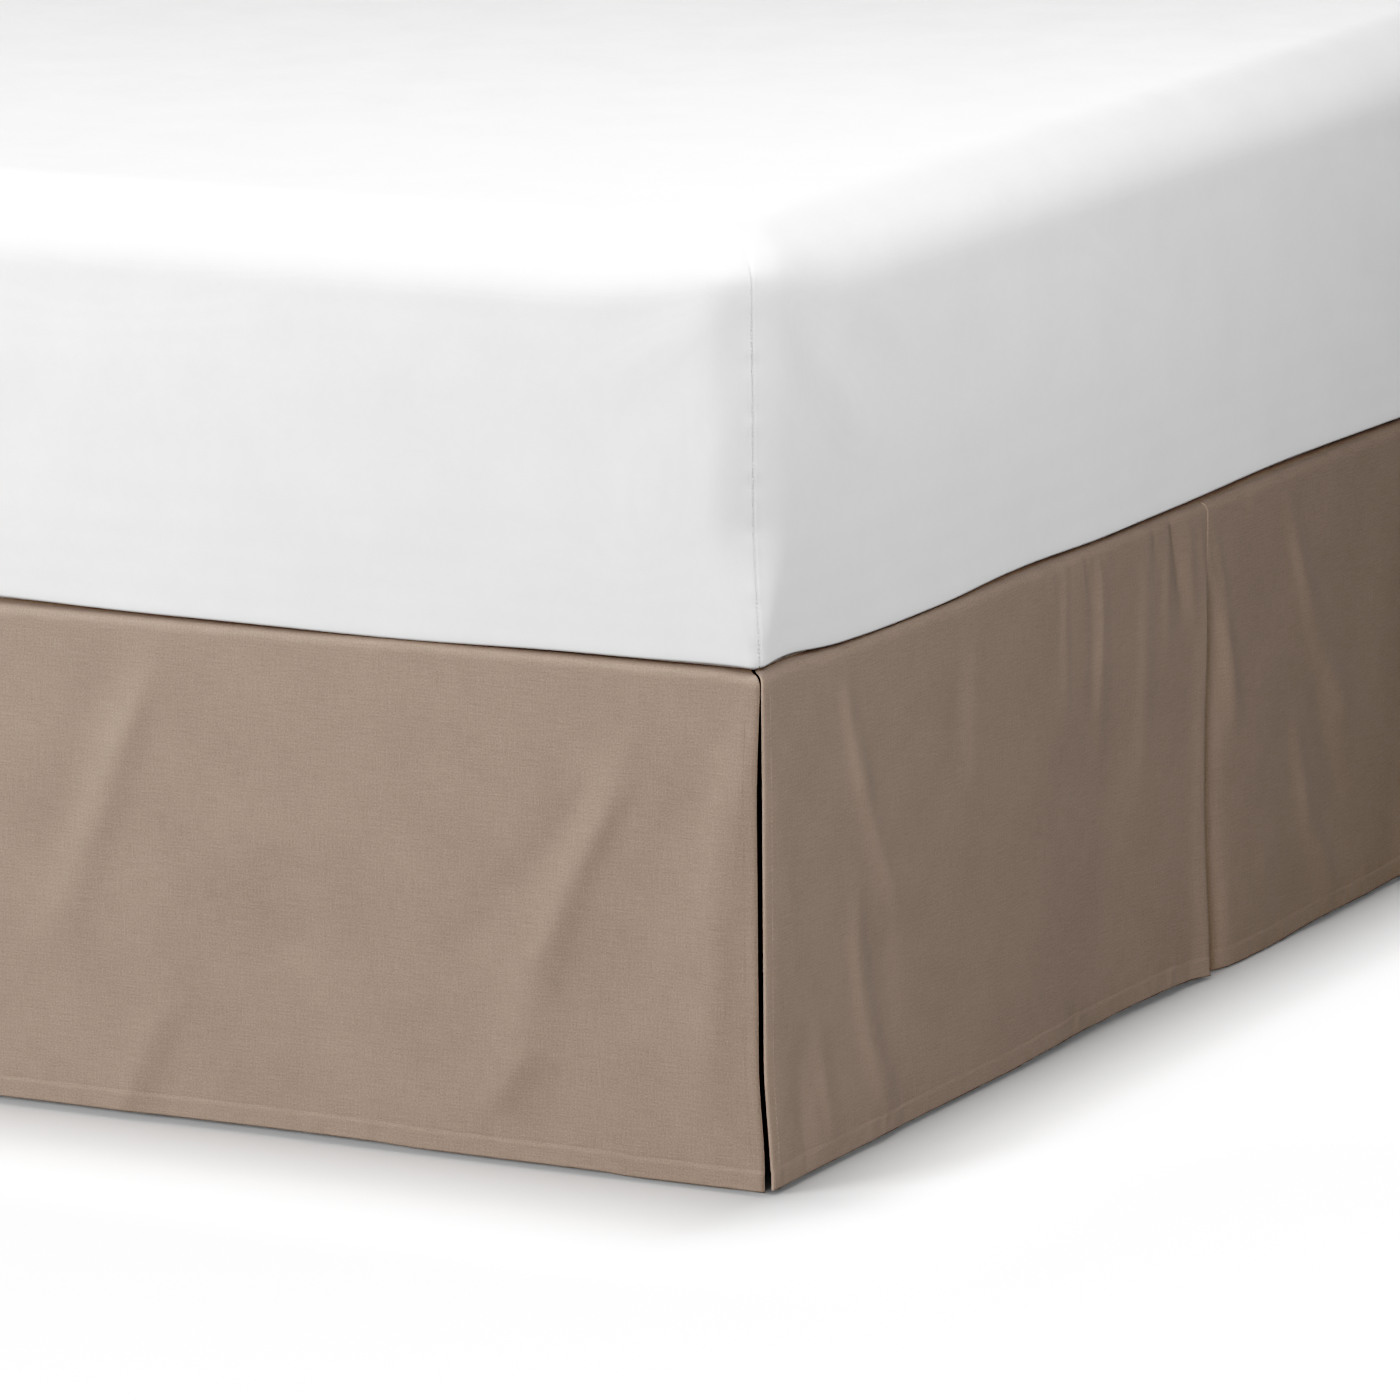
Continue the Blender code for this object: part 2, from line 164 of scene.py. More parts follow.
# Creases and gathers too small for the solids: the same columns. Short ones hang from the seam.
FOOT_CREASES = table(
    Fold,
    (129, 40, 155, 117, 0, 4, 6, 0.8),
    (158, 120, 217, 220, -2, 6, 10, 1.1),
    (141, 225, 160, 305, 0, 5, 8, 1.0),
    (160, 305, 197, 366, 0, 7, 10, 1.2),
    (0, 50, 0, 400, 0, 13, 11, -1.3),
    (18, 90, 60, 240, 0, 9, 16, 0.5),
    (86, 310, 106, 366, 0, 6, 8, 1.1),
    (52, 320, 66, 375, 0, 14, 16, -1.1),
    (466, 4, 474, 26, 0, 3, 5, -0.6),
    (487, 4, 494, 28, 0, 3, 5, -0.5),
    (503, 20, 505, 125, 0, 5, 9, 1.0),
    (511, 4, 518, 30, 0, 3, 5, -0.7),
    (540, 3, 550, 38, 0, 4, 6, -1.3),
    (567, 26, 569, 140, 0, 4, 6, 0.7),
    (568, 4, 573, 30, 0, 3, 5, -0.5),
    (590, 4, 594, 28, 0, 3, 4, -0.4),
    (645, 40, 648, 200, 0, 7, 12, 0.5),
    (662, 3, 668, 36, 0, 3, 6, -0.8),
    (687, 30, 689, 105, 0, 6, 10, 1.2),
    (694, 1, 716, 66, 0, 4, 8, -2.2),
    (728, 12, 738, 100, 0, 7, 11, 1.2),
    (750, 14, 752, 70, 0, 3, 4, 0.5),
    (767, 46, 788, 92, 0, 3, 6, 1.4),
    (788, 92, 815, 186, 2, 6, 12, 1.2),
    (800, 322, 806, 362, 0, 8, 10, 0.8),
    (868, 300, 872, 350, 0, 12, 14, 0.8),
    (920, 50, 966, 152, 2, 5, 9, 1.2),
    (966, 152, 1036, 226, 0, 8, 12, 1.2),
    (943, 264, 956, 305, 0, 5, 8, 1.1),
    (956, 305, 1004, 352, 0, 7, 10, 1.2),
    (846, 3, 850, 26, 0, 4, 5, 0.5),
    (832, 3, 834, 24, 0, 4, 5, -0.5),
)
LEFT_CREASES = table(
    Fold,
    (30, 80, 42, 200, 3, 10, 12, 1.0),
    (110, 90, 186, 240, 4, 8, 13, 1.1),
    (516, 60, 572, 195, 0, 10, 15, 1.0),
    (192, 296, 220, 342, 0, 11, 14, 1.2),
    (164, 308, 172, 355, 0, 14, 16, -0.6),
)

# Where a drop's free edge strays from its plain place, in millimetres along the drop: how much
# higher its hem hangs, and how far its foot stands out.
Stray = namedtuple("Stray", "along rise out")

FOOT_STRAYS = table(
    Stray, (0, 0.0, 4.4), (60, 0.0, 3.0), (170, 0.0, 2.4), (215, -0.4, 0.3), (410, -0.6, 0.0),
    (455, 0.6, 0.0), (540, 1.0, 0.0), (580, 0.2, 0.0), (640, 1.6, 0.0), (700, 1.8, 0.0),
    (745, 0.0, 0.0), (775, -2.6, 0.0), (830, -2.8, 0.0), (900, -2.4, 0.0), (983, -0.4, 0.0),
    (1080, -0.4, 0.0), (1250, 0.8, 0.0), (1524, 0.6, 0.0),
)
LEFT_STRAYS = table(
    Stray, (0, -0.7, 0.0), (110, -0.8, 0.0), (135, 0.5, 0.0), (290, 0.8, 0.0), (325, 2.0, 0.0),
    (616, 2.2, 0.0), (1000, 1.0, 0.0), (2020, 1.2, 0.0),
)
RIGHT_STRAYS = table(Stray, (0, 0.0, 0.0), (700, 1.2, 0.0), (1300, -0.6, 0.0), (2020, 0.8, 0.0))

# The width of a drop's columns of points up to a distance along it, both in metres.
Step = namedtuple("Step", "until width")

FOOT_STEPS = table(
    Step, (0.016, 0.002), (0.250, 0.0032), (0.430, 0.0060), (0.840, 0.0025), (1.040, 0.0035),
    (1.100, 0.0080), (1.508, 0.010), (1.524, 0.002),
)
LEFT_STEPS = table(
    Step, (0.016, 0.002), (0.680, 0.0045), (0.930, 0.010), (1.090, 0.005), (2.020, 0.010),
)
RIGHT_STEPS = table(Step, (0.016, 0.004), (0.930, 0.012), (1.090, 0.006), (2.020, 0.012))

# Millimetres along a drop, and how many lower it comes over the edge of the base there.
Sink = namedtuple("Sink", "along depth")

FOOT_SINKS = table(
    Sink, (0, 0.0), (20, -0.6), (60, -0.8), (95, 1.4), (150, 3.0), (320, 3.2), (420, 2.6),
    (1000, 2.4), (1400, 1.2), (1524, 0.0),
)
SIDE_SINKS = table(
    Sink, (0, 0.0), (30, -1.5), (300, -1.5), (380, 0.4), (700, 0.4), (1000, -0.8), (2020, 0.0),
)

# A drop starts at a corner of the bed and runs along one edge, facing outward. Drift is how far
# the foot of its first end reaches past its corner, and split_last is 1 where its far end meets
# another drop at a corner too.
Drop = namedtuple(
    "Drop", "name node corner along outward run folds strays drift sinks steps split_last"
)
FOOT_LEFT = (-HALF_WIDTH, -HALF_LENGTH)
FOOT_RIGHT = (HALF_WIDTH, -HALF_LENGTH)
FOOT_RUN = 2 * HALF_WIDTH
SIDE_RUN = HEAD_END + HALF_LENGTH
FOOT_ALL = FOOT_FOLDS + FOOT_CREASES
LEFT_ALL = LEFT_FOLDS + LEFT_CREASES
DROPS = (
    Drop(
        "skirt_foot_drop", "drop_foot", FOOT_LEFT, (1, 0), (0, -1), FOOT_RUN,
        FOOT_ALL, FOOT_STRAYS, 0.0, FOOT_SINKS, FOOT_STEPS, 1,
    ),
    Drop(
        "skirt_left_drop", "drop_left", FOOT_LEFT, (0, 1), (-1, 0), SIDE_RUN,
        LEFT_ALL, LEFT_STRAYS, 0.0044, SIDE_SINKS, LEFT_STEPS, 0,
    ),
    Drop(
        "skirt_right_drop", "drop_right", FOOT_RIGHT, (0, 1), (1, 0), SIDE_RUN,
        RIGHT_FOLDS, RIGHT_STRAYS, 0.0, SIDE_SINKS, RIGHT_STEPS, 0,
    ),
)

# The rows of a drop's grid over its bend, the heights of those below, and a half turn's steps.
BEND_ROWS = 11
ROW_HEIGHT = 0.006
HEM_ROW_HEIGHT = 0.0013
TURN_STEPS = 5

# How far behind the bend's start a drop rises to its crest.
CREST_REACH = 0.0045


# ---------------------------------------------------------------------------------------------
# Sizes and colours
# ---------------------------------------------------------------------------------------------


def length(name, description, default):
    """A size property in metres."""
    return FloatProperty(
        name=name, description=description, default=default, unit="LENGTH", precision=5
    )


def amount(name, description, default):
    """A plain number that isn't negative."""
    return FloatProperty(name=name, description=description, default=default, min=0.0)


def angle(name, description, degrees):
    """An angle property, given in degrees."""
    return FloatProperty(
        name=name, description=description, default=math.radians(degrees), subtype="ANGLE"
    )


def color(name, description, default):
    """A colour property, in scene linear values."""
    return FloatVectorProperty(
        name=name,
        description=description,
        default=default,
        subtype="COLOR",
        size=3,
        min=0.0,
        max=1.0,
    )


class SkirtSizes(bpy.types.PropertyGroup):
    """How the skirt is cut, folded and sewn."""

    drop: length("Drop", "From the deck down to the hem", SEAM_LEVEL - HEM_LEVEL)
    cloth: length("Cloth thickness", "Thickness of the skirt cloth", 0.0011)
    bend: length("Bend reach", "How far a drop's bend over the edge of the base reaches", 0.014)
    square: amount(
        "Bend squareness", "2 bends a drop over the edge roundly, more does so tightly", 3.6
    )
    dip: length("Dip", "How far the cloth sinks between the deck and the bend's crest", 0.0024)
    tuck: length("Pleat tuck", "How deep each half of a pleat is folded under", 0.075)
    layer_step: length("Layer step", "From one layer of a pleat to the next", 0.0024)
    pleat_part: length("Pleat opening", "Between the two folded edges of a pleat", 0.0040)
    corner_gap_top: length(
        "Corner gap at the top", "From a drop's end to its corner, at the top", 0.0018
    )
    corner_gap: length("Corner gap", "From a drop's end to its corner, lower down", 0.0048)
    corner_opens: length(
        "Corner opens over", "How far down a corner slit reaches its full width", 0.110
    )
    drift_from: length(
        "Drift from", "How far down a drop's ends begin to stray from their corner", 0.285
    )
    drift_over: length("Drift over", "Over which depth they do so", 0.085)
    pleat_proud: length(
        "Pleat proud", "How far the first folded edge of a pleat stands out", 0.0042
    )
    pleat_sunk: length("Pleat sunk", "How far the second folded edge of a pleat lies back", 0.0056)
    pleat_bow: length(
        "Pleat bow", "How far the middle of a pleat's opening strays along the drop", 0.008
    )
    mitre: length("Mitre reach", "How far along a drop its end is drawn in", 0.060)
    edge_roll: length("Side hem roll", "How far a drop's hemmed end rolls inwards", 0.0012)
    edge_roll_width: length("Side hem roll width", "Width of the rolled end", 0.004)
    hem: length("Hem depth", "From the bottom edge up to the stitches", 0.0155)
    side_hem: length("Side hem width", "From a drop's end to its line of stitches", 0.011)
    stitch: length("Stitch length", "Length of one stitch", 0.0026)
    stitch_pitch: length("Stitch pitch", "From one stitch to the next", 0.0036)
    thread: length("Thread radius", "Radius of the sewing thread", 0.00023)


class MattressSizes(bpy.types.PropertyGroup):
    """How the mattress and its cover are shaped."""

    corner: length("Corner radius", "Radius of the upright corners", 0.045)
    corner_foot: length(
        "Corner radius at the foot", "Radius of the corners at the very bottom", 0.010
    )
    taper: length("Corner taper", "Height over which the corners grow round", 0.110)
    top: length("Top rounding", "Radius of the upper edge", 0.060)
    top_corner: length(
        "Top rounding at the corners", "Radius of the upper edge at the corners", 0.040
    )
    bottom: length("Bottom rounding", "Radius of the lower edge", 0.0022)
    hang: length("Lower edge", "How far the lower edge hangs in general", 0.0004)
    bulge: length("Bulge", "How far the sides swell", 0.002)
    seam_top: length("Seam top", "From the mattress's underside up to the ends of the seams", 0.296)
    seam_depth: length("Seam depth", "Depth of the corner seams", 0.0011)
    stitch: length("Stitch length", "Length of one stitch in a corner seam", 0.0020)
    stitch_pitch: length("Stitch pitch", "From one stitch to the next", 0.0029)
    thread: length("Thread radius", "Radius of the sewing thread", 0.00028)


class BaseSizes(bpy.types.PropertyGroup):
    """How the base and its legs are shaped."""

    corner: length("Corner radius", "Radius of the upright corners", 0.012)
    top: length("Top rounding", "Radius of the upper edge", 0.022)
    bottom: length("Bottom rounding", "Radius of the lower edge", 0.012)
    piping: length("Piping", "How far the piping stands proud", 0.0030)
    leg_foot: amount("Leg taper", "A leg's radius at its foot as a share of that at its top", 0.92)


class BedColors(bpy.types.PropertyGroup):
    """The base colours of the finishes."""

    skirt: color("Skirt cloth", "Warm taupe of the skirt", (0.274, 0.198, 0.151))
    deck: color("Deck cloth", "Taupe of the deck between mattress and base", (0.260, 0.188, 0.143))
    skirt_thread: color("Skirt thread", "Thread of the skirt's seams", (0.268, 0.194, 0.148))
    mattress: color("Mattress cover", "Off-white of the mattress cover", (0.79, 0.79, 0.79))
    mattress_thread: color("Mattress thread", "Thread of the mattress seams", (0.84, 0.84, 0.84))
    base: color("Base cover", "Dark grey cloth of the base", (0.030, 0.030, 0.033))
    leg: color("Leg wood", "Dark stain of the legs", (0.050, 0.030, 0.020))
    floor: color("Floor", "Pale studio floor", (0.885, 0.885, 0.885))


class StudioSettings(bpy.types.PropertyGroup):
    """The lights and the camera of the studio."""

    key_power: amount("Key", "Power of the large soft light on the left", 111.3)
    back_power: amount("Back", "Power of the high soft light behind the long side", 145.1)
    top_power: amount("Top", "Power of the light over the foot end", 5.3)
    foot_power: amount("Foot", "Power of the light in front of the foot end", 48.3)
    side_power: amount("Side", "Power of the soft light that rakes over the foot drop", 71.2)
    low_power: amount(
        "Low", "Power of the low light that brings out the folds of the foot drop", 26.2
    )
    front_power: amount("Front", "Power of the light that evens the foot drop out", 21.8)
    fill_right_power: amount("Fill right", "Power of the low light on the far long side", 120.0)
    fill_head_power: amount("Fill head", "Power of the low light at the head end", 40.0)
    floor_key_power: amount("Floor key", "Light on the floor from the left", 332.3)
    floor_top_power: amount("Floor top", "Light on the floor from above the bed", 50.2)
    floor_near_power: amount("Floor near", "Light on the floor from above the foot end", 75.2)
    floor_foot_power: amount("Floor foot", "Light on the floor in front of the foot end", 48.3)
    room: amount("Room light", "Strength of the even light of the room", 0.072)
    lens: amount("Lens", "Focal length in millimetres", 254.6)
    azimuth: angle("Camera azimuth", "Turn of the view from +Y towards +X", 62.43)
    pitch: angle("Camera pitch", "How far the view looks down", 11.68)
    roll: angle("Camera roll", "Roll of the camera", -0.47)
    place: FloatVectorProperty(
        name="Camera place",
        description="Where the camera stands",
        default=(-6.913, -4.178, 1.796),
        subtype="TRANSLATION",
    )


# ---------------------------------------------------------------------------------------------
# Helpers for meshes
# ---------------------------------------------------------------------------------------------


def ease(share):
    """A smooth step from 0 to 1."""
    share = np.clip(share, 0.0, 1.0)
    return share * share * (3 - 2 * share)


def bell(distance, width):
    """A smooth hump, 1 at no distance."""
    return np.exp(-((distance / width) ** 2))


def waver(along, *waves):
    """A sum of sine waves, each given as its wavelength, its height and its phase."""
    return sum(height * np.sin(2 * math.pi * along / span + phase) for span, height, phase in waves)


def link(name, mesh, material):
    """A new object at the origin that rides on the bed."""
    made = bpy.data.objects.new(name, mesh)
    bpy.context.scene.collection.objects.link(made)
    made.data.materials.append(material)
    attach(made, "root")
    return made


def coordinates(mesh):
    """The mesh's points as an array of rows."""
    places = np.zeros(len(mesh.vertices) * 3)
    mesh.vertices.foreach_get("co", places)
    return places.reshape(-1, 3)


def facings(mesh):
    """The directions that the mesh's points face, as an array of rows."""
    directions = np.zeros(len(mesh.vertices) * 3)
    mesh.vertices.foreach_get("normal", directions)
    return directions.reshape(-1, 3)


def move_points(mesh, places):
    """Put the mesh's points at the given places."""
    mesh.vertices.foreach_set("co", np.asarray(places, dtype=float).ravel())
    mesh.update()


def mesh_from(source, name):
    """Turn a bmesh into a smoothly shaded mesh."""
    mesh = bpy.data.meshes.new(name)
    source.to_mesh(mesh)
    source.free()
    mesh.shade_smooth()
    return mesh


def evaluated_mesh(holder, name):
    """The holder's mesh with its modifiers applied; the holder itself goes."""
    bpy.context.view_layer.update()
    finished = holder.evaluated_get(bpy.context.evaluated_depsgraph_get())
    made = bpy.data.meshes.new_from_object(finished)
    made.name = name
    plain = holder.data
    bpy.data.objects.remove(holder)
    bpy.data.meshes.remove(plain)
    return made


def solidified(mesh, name, thickness):
    """The sheet with its thickness, as a finished mesh."""
    holder = bpy.data.objects.new(name + "_sheet", mesh)
    bpy.context.scene.collection.objects.link(holder)
    shell = holder.modifiers.new("thickness", "SOLIDIFY")
    shell.thickness = thickness
    shell.offset = 0.0
    shell.use_even_offset = True
    return evaluated_mesh(holder, name)


def stitch_mesh(name, starts, ends, outs, size):
    """Stitches: slim beads that lie from each start to its end, on a surface facing out."""
    bead = bmesh.new()
    bmesh.ops.create_uvsphere(bead, u_segments=6, v_segments=4, radius=1.0)
    holder = bpy.data.objects.new(name + "_bead", mesh_from(bead, name + "_bead"))
    bpy.context.scene.collection.objects.link(holder)
    shape = coordinates(holder.data) * np.array([size.stitch / 2, size.thread * 1.3, size.thread])
    row = holder.modifiers.new("row", "ARRAY")
    row.count = len(starts)
    row.use_relative_offset = False
    mesh = evaluated_mesh(holder, name)
    run = (ends - starts) / np.linalg.norm(ends - starts, axis=1)[:, None]
    outs = outs / np.linalg.norm(outs, axis=1)[:, None]
    turn = np.stack([run, np.cross(outs, run), outs], axis=1)
    middles = (starts + ends) / 2 + outs * size.thread * 0.2
    move_points(mesh, middles[:, None] + shape @ turn)
    return mesh


# ---------------------------------------------------------------------------------------------
# The cloth of the drops
# ---------------------------------------------------------------------------------------------


def folds_lift(folds, along, down):
    """How far the folds lift the cloth, all in metres."""
    lift = np.zeros(np.broadcast(along, down).shape)
    for fold in folds:
        share = (down / MM - fold.top_down) / (fold.foot_down - fold.top_down)
        fade = ease((share + 0.15) / 0.35) * ease((1.15 - share) / 0.35)
        share = np.clip(share, 0.0, 1.0)
        middle = fold.top_along + (fold.foot_along - fold.top_along) * share
        middle = middle + 4 * fold.bow * share * (1 - share)
        width = fold.top_width + (fold.foot_width - fold.top_width) * share
        lift = lift + fold.rise * MM * fade * bell(along / MM - middle, width)
    return lift


def hem_lift(along, down, sizes):
    """The doubled hem, the groove of its stitches and the small puckers beside them."""
    above_edge = sizes.drop - down
    band = 0.00035 * ease((sizes.hem + 0.0006 - above_edge) / 0.0012)
    groove = -0.00035 * bell(above_edge - sizes.hem, 0.0011)
    pull = waver(along, (0.0231, 0.5, 0.4), (0.0137, 0.35, 2.1), (0.0412, 0.5, 1.2))
    pull = pull * (0.6 + 0.4 * waver(along, (0.171, 1.0, 0.9)))
    puckers = 0.00045 * pull * bell(above_edge - sizes.hem * 0.6, 0.011)
    return band + groove + puckers


def end_gap(down, sizes):
    """How far a drop's end stands off its corner: nearly shut at the top, open below."""
    widening = sizes.corner_gap - sizes.corner_gap_top
    return sizes.corner_gap_top + widening * ease(down / sizes.corner_opens)


def bend_profile(sizes):
    """A drop's bend over the edge: how far along the cloth, outward and down, and its slope."""
    turn = np.linspace(0.0, math.pi / 2, 241)
    outward = sizes.bend * (np.sin(turn) ** (2 / sizes.square) - 1)
    down = (sizes.bend - sizes.dip) * (1 - np.cos(turn) ** (2 / sizes.square))
    down += sizes.dip * ease((outward + sizes.bend) / CREST_REACH)
    path = np.concatenate([[0.0], np.cumsum(np.hypot(np.diff(outward), np.diff(down)))])
    return path, outward, down, np.arctan2(np.gradient(down), np.gradient(outward))


def pleat_lift(drop, along, down, sizes):
    """How the first folded edge of a pleat stands out and the second lies back, growing below."""
    past = along - drop.run / 2
    growth = ease((down - 0.020) / 0.130) * (0.75 + 0.25 * ease((down - 0.250) / 0.100))
    proud = sizes.pleat_proud * bell(past, 0.017)
    sunk = -sizes.pleat_sunk * bell(past - 0.014, 0.018)
    side = ease((past + sizes.pleat_part / 2) / sizes.pleat_part)
    return growth * (proud * (1 - side) + sunk * side)


def strays(drop, along, down, sizes):
    """How much higher the drop hangs, and how far it stands out, low down near its hem."""
    places = [stray.along * MM for stray in drop.strays]
    share = ease((down - 0.150) / (sizes.drop - 0.150))
    rise = np.interp(along, places, [stray.rise * MM for stray in drop.strays]) * share
    out = np.interp(along, places, [stray.out * MM for stray in drop.strays])
    return rise, out * ease((down - sizes.drift_from) / sizes.drift_over)


def cloth_places(drop, along, tuck, path, sizes):
    """Where points of a drop lie: along it, tucked in behind its front, and down from the seam."""
    bend_paths, bend_outs, bend_downs, bend_slopes = bend_profile(sizes)
    bend_path = bend_paths[-1]
    slope = np.where(path < bend_path, np.interp(path, bend_paths, bend_slopes), math.pi / 2)
    outward = np.interp(path, bend_paths, bend_outs)
    down = np.interp(path, bend_paths, bend_downs) + np.maximum(path - bend_path, 0.0)
    drift = drop.drift * ease((down - sizes.drift_from) / sizes.drift_over)
    draw_in = end_gap(down, sizes) - outward - drift
    near_end = np.clip(1 - along / sizes.mitre, 0.0, 1.0)
    far_end = np.clip(1 - (drop.run - along) / sizes.mitre, 0.0, 1.0) * drop.split_last
    bow = sizes.pleat_bow * bell(down - 0.225, 0.110) * bell(along - drop.run / 2, 0.200)
    place = along + draw_in * (near_end - far_end) - bow
    rise, stray_out = strays(drop, along, down, sizes)
    lift = folds_lift(drop.folds, along, down) + hem_lift(along, down, sizes)
    lift = lift + pleat_lift(drop, along, down, sizes) + stray_out
    from_end = np.minimum(along, np.where(drop.split_last, drop.run - along, drop.run))
    lift = lift - sizes.edge_roll * np.clip(1 - from_end / sizes.edge_roll_width, 0.0, 1.0) ** 2
    lift = lift * ease(path / bend_path) - tuck
    out = outward + lift * np.sin(slope)
    x = drop.corner[0] + drop.along[0] * place + drop.outward[0] * out
    y = drop.corner[1] + drop.along[1] * place + drop.outward[1] * out
    sink_places = [sink.along * MM for sink in drop.sinks]
    depth = np.interp(along, sink_places, [sink.depth * MM for sink in drop.sinks])
    sink = depth * ease((outward + sizes.bend) / CREST_REACH) * ease((0.090 - down) / 0.070)
    z = SEAM_LEVEL - down + rise - sink + lift * np.cos(slope)
    return np.stack([x, y, z], axis=-1)


def front_stations(steps, first, last):
    """Distances along the drop for the columns from one place to another, both included."""
    stations = [first]
    for step in steps:
        here = stations[-1]
        there = min(step.until, last)
        if there - here < step.width / 2:
            continue
        count = round((there - here) / step.width)
        stations += [here + (there - here) * (i + 1) / count for i in range(count)]
    stations[-1] = last
    return stations


def half_turn(along, tuck, way, step):
    """A half turn of the strip, from one layer to the next one in, seen from above."""
    angles = [math.pi * i / TURN_STEPS for i in range(1, TURN_STEPS)]
    around = [(step / 2 * math.sin(angle), step / 2 * (1 - math.cos(angle))) for angle in angles]
    return [(along + way * across, tuck + inward) for across, inward in around]


def pleat_half(sizes, shared):
    """Half of the pleat as (distance from its middle, tuck), from its front to its back layer."""
    near = sizes.pleat_part / 2
    outwards = [near + (sizes.tuck - near) * i / shared for i in range(shared + 1)]
    front = [(off, 0.0) for off in reversed(outwards)]
    under = [(off, sizes.layer_step) for off in outwards]
    back = [(off, 2 * sizes.layer_step) for off in reversed(outwards)]
    inner = half_turn(near, 0.0, -1, sizes.layer_step)
    outer = half_turn(sizes.tuck, sizes.layer_step, 1, sizes.layer_step)
    return front + inner + under + outer + back


def pleated_columns(drop, sizes):
    """The whole strip seen from above, as rows of (distance along the drop, tuck)."""
    centre = drop.run / 2
    first = front_stations(drop.steps, 0.0, centre - sizes.tuck)
    last = front_stations(drop.steps, centre + sizes.tuck, drop.run)
    near_steps = [step.width for step in drop.steps if step.until > centre]
    shared = round(sizes.tuck / near_steps[0])
    half = pleat_half(sizes, shared)
    columns = [(along, 0.0) for along in first[:-1]]
    columns += [(centre - off, tuck) for off, tuck in half]
    columns += [(centre + off, tuck) for off, tuck in reversed(half)]
    return np.array(columns + [(along, 0.0) for along in last[1:]])


def drop_paths(sizes):
    """How far down the cloth each row lies: fine over the bend and in the hem."""
    bend_path = bend_profile(sizes)[0][-1]
    end = bend_path + sizes.drop - sizes.bend
    hem_top = end - sizes.hem - 0.005
    middle_rows = round((hem_top - bend_path) / ROW_HEIGHT)
    hem_rows = round((end - hem_top) / HEM_ROW_HEIGHT)
    bend = np.linspace(0.0, bend_path, BEND_ROWS + 1)
    middle = np.linspace(bend_path, hem_top, middle_rows + 1)
    hem = np.linspace(hem_top, end, hem_rows + 1)
    return np.concatenate([bend, middle[1:], hem[1:]])


def cloth_map(mesh, across, along):
    """A map of the flat cloth in metres, so that its weave follows its folds."""
    layer = mesh.uv_layers.new(name="Cloth")
    corners = np.zeros(len(mesh.loops), dtype=int)
    mesh.loops.foreach_get("vertex_index", corners)
    flat = np.stack([across[corners], along[corners]], axis=-1)
    layer.uv.foreach_set("vector", flat.astype(np.float32).ravel())


def drop_mesh(drop, sizes):
    """One drop as a sheet: a fine grid laid over the bend and down to the hem."""
    columns = pleated_columns(drop, sizes)
    paths = drop_paths(sizes)
    last_column = len(columns) - 1
    last_row = len(paths) - 1
    sheet = bmesh.new()
    bmesh.ops.create_grid(sheet, x_segments=last_column, y_segments=last_row, size=0.5)
    mesh = mesh_from(sheet, drop.name)
    flat = coordinates(mesh)
    column = np.rint((flat[:, 0] + 0.5) * last_column).astype(int)
    row = np.rint((0.5 - flat[:, 1]) * last_row).astype(int)
    along = columns[column, 0]
    tuck = columns[column, 1]
    move_points(mesh, cloth_places(drop, along, tuck, paths[row], sizes))
    strip = np.concatenate([[0.0], np.cumsum(np.hypot(*np.diff(columns, axis=0).T))])
    cloth_map(mesh, strip[column], paths[row])
    return solidified(mesh, drop.name, sizes.cloth), strip[-1], paths[-1]


def stitch_rows(drop, sizes):
    """Where the stitches of a drop run: its hem, then the side hems at its ends."""
    hem_path = drop_paths(sizes)[-1] - sizes.hem
    count = round((drop.run - 2 * sizes.side_hem) / sizes.stitch_pitch)
    hem = np.linspace(sizes.side_hem, drop.run - sizes.side_hem, count)
    rows = [(hem, np.full(count, hem_path))]
    rise = round((hem_path - 0.030) / sizes.stitch_pitch)
    paths = np.linspace(0.030, hem_path - sizes.stitch_pitch, rise)
    for end in (sizes.side_hem, drop.run - sizes.side_hem):
        rows.append((np.full(rise, end), paths))
    return rows


def drop_stitches(drop, sizes):
    """The sewing thread of a drop, bead by bead, on the outside of the cloth."""
    rows = []
    for along, path in stitch_rows(drop, sizes):
        upright = np.ptp(path) > 0
        aside, down = (0.0, sizes.stitch / 2) if upright else (sizes.stitch / 2, 0.0)
        starts = cloth_places(drop, along - aside, 0.0, path - down, sizes)
        ends = cloth_places(drop, along + aside, 0.0, path + down, sizes)
        beside = cloth_places(drop, along + down, 0.0, path + aside, sizes)
        outs = np.cross(ends - starts, beside - starts)
        outs *= np.sign(outs @ np.array([*drop.outward, 0.0]))[:, None]
        outs /= np.linalg.norm(outs, axis=1)[:, None]
        rows.append((starts + outs * sizes.cloth / 2, ends + outs * sizes.cloth / 2, outs))
    starts, ends, outs = (np.concatenate(part) for part in zip(*rows))
    return stitch_mesh(drop.name + "_stitches", starts, ends, outs, sizes)


# ---------------------------------------------------------------------------------------------
# The deck, the mattress and the base
# ---------------------------------------------------------------------------------------------

# A soft crease in the mattress's cover, in millimetres: on the top, from the photographed long
# side and from the foot; on an upright side, from the foot or that long side and from the top.
Crease = namedtuple("Crease", "start_along start_down end_along end_down width rise")

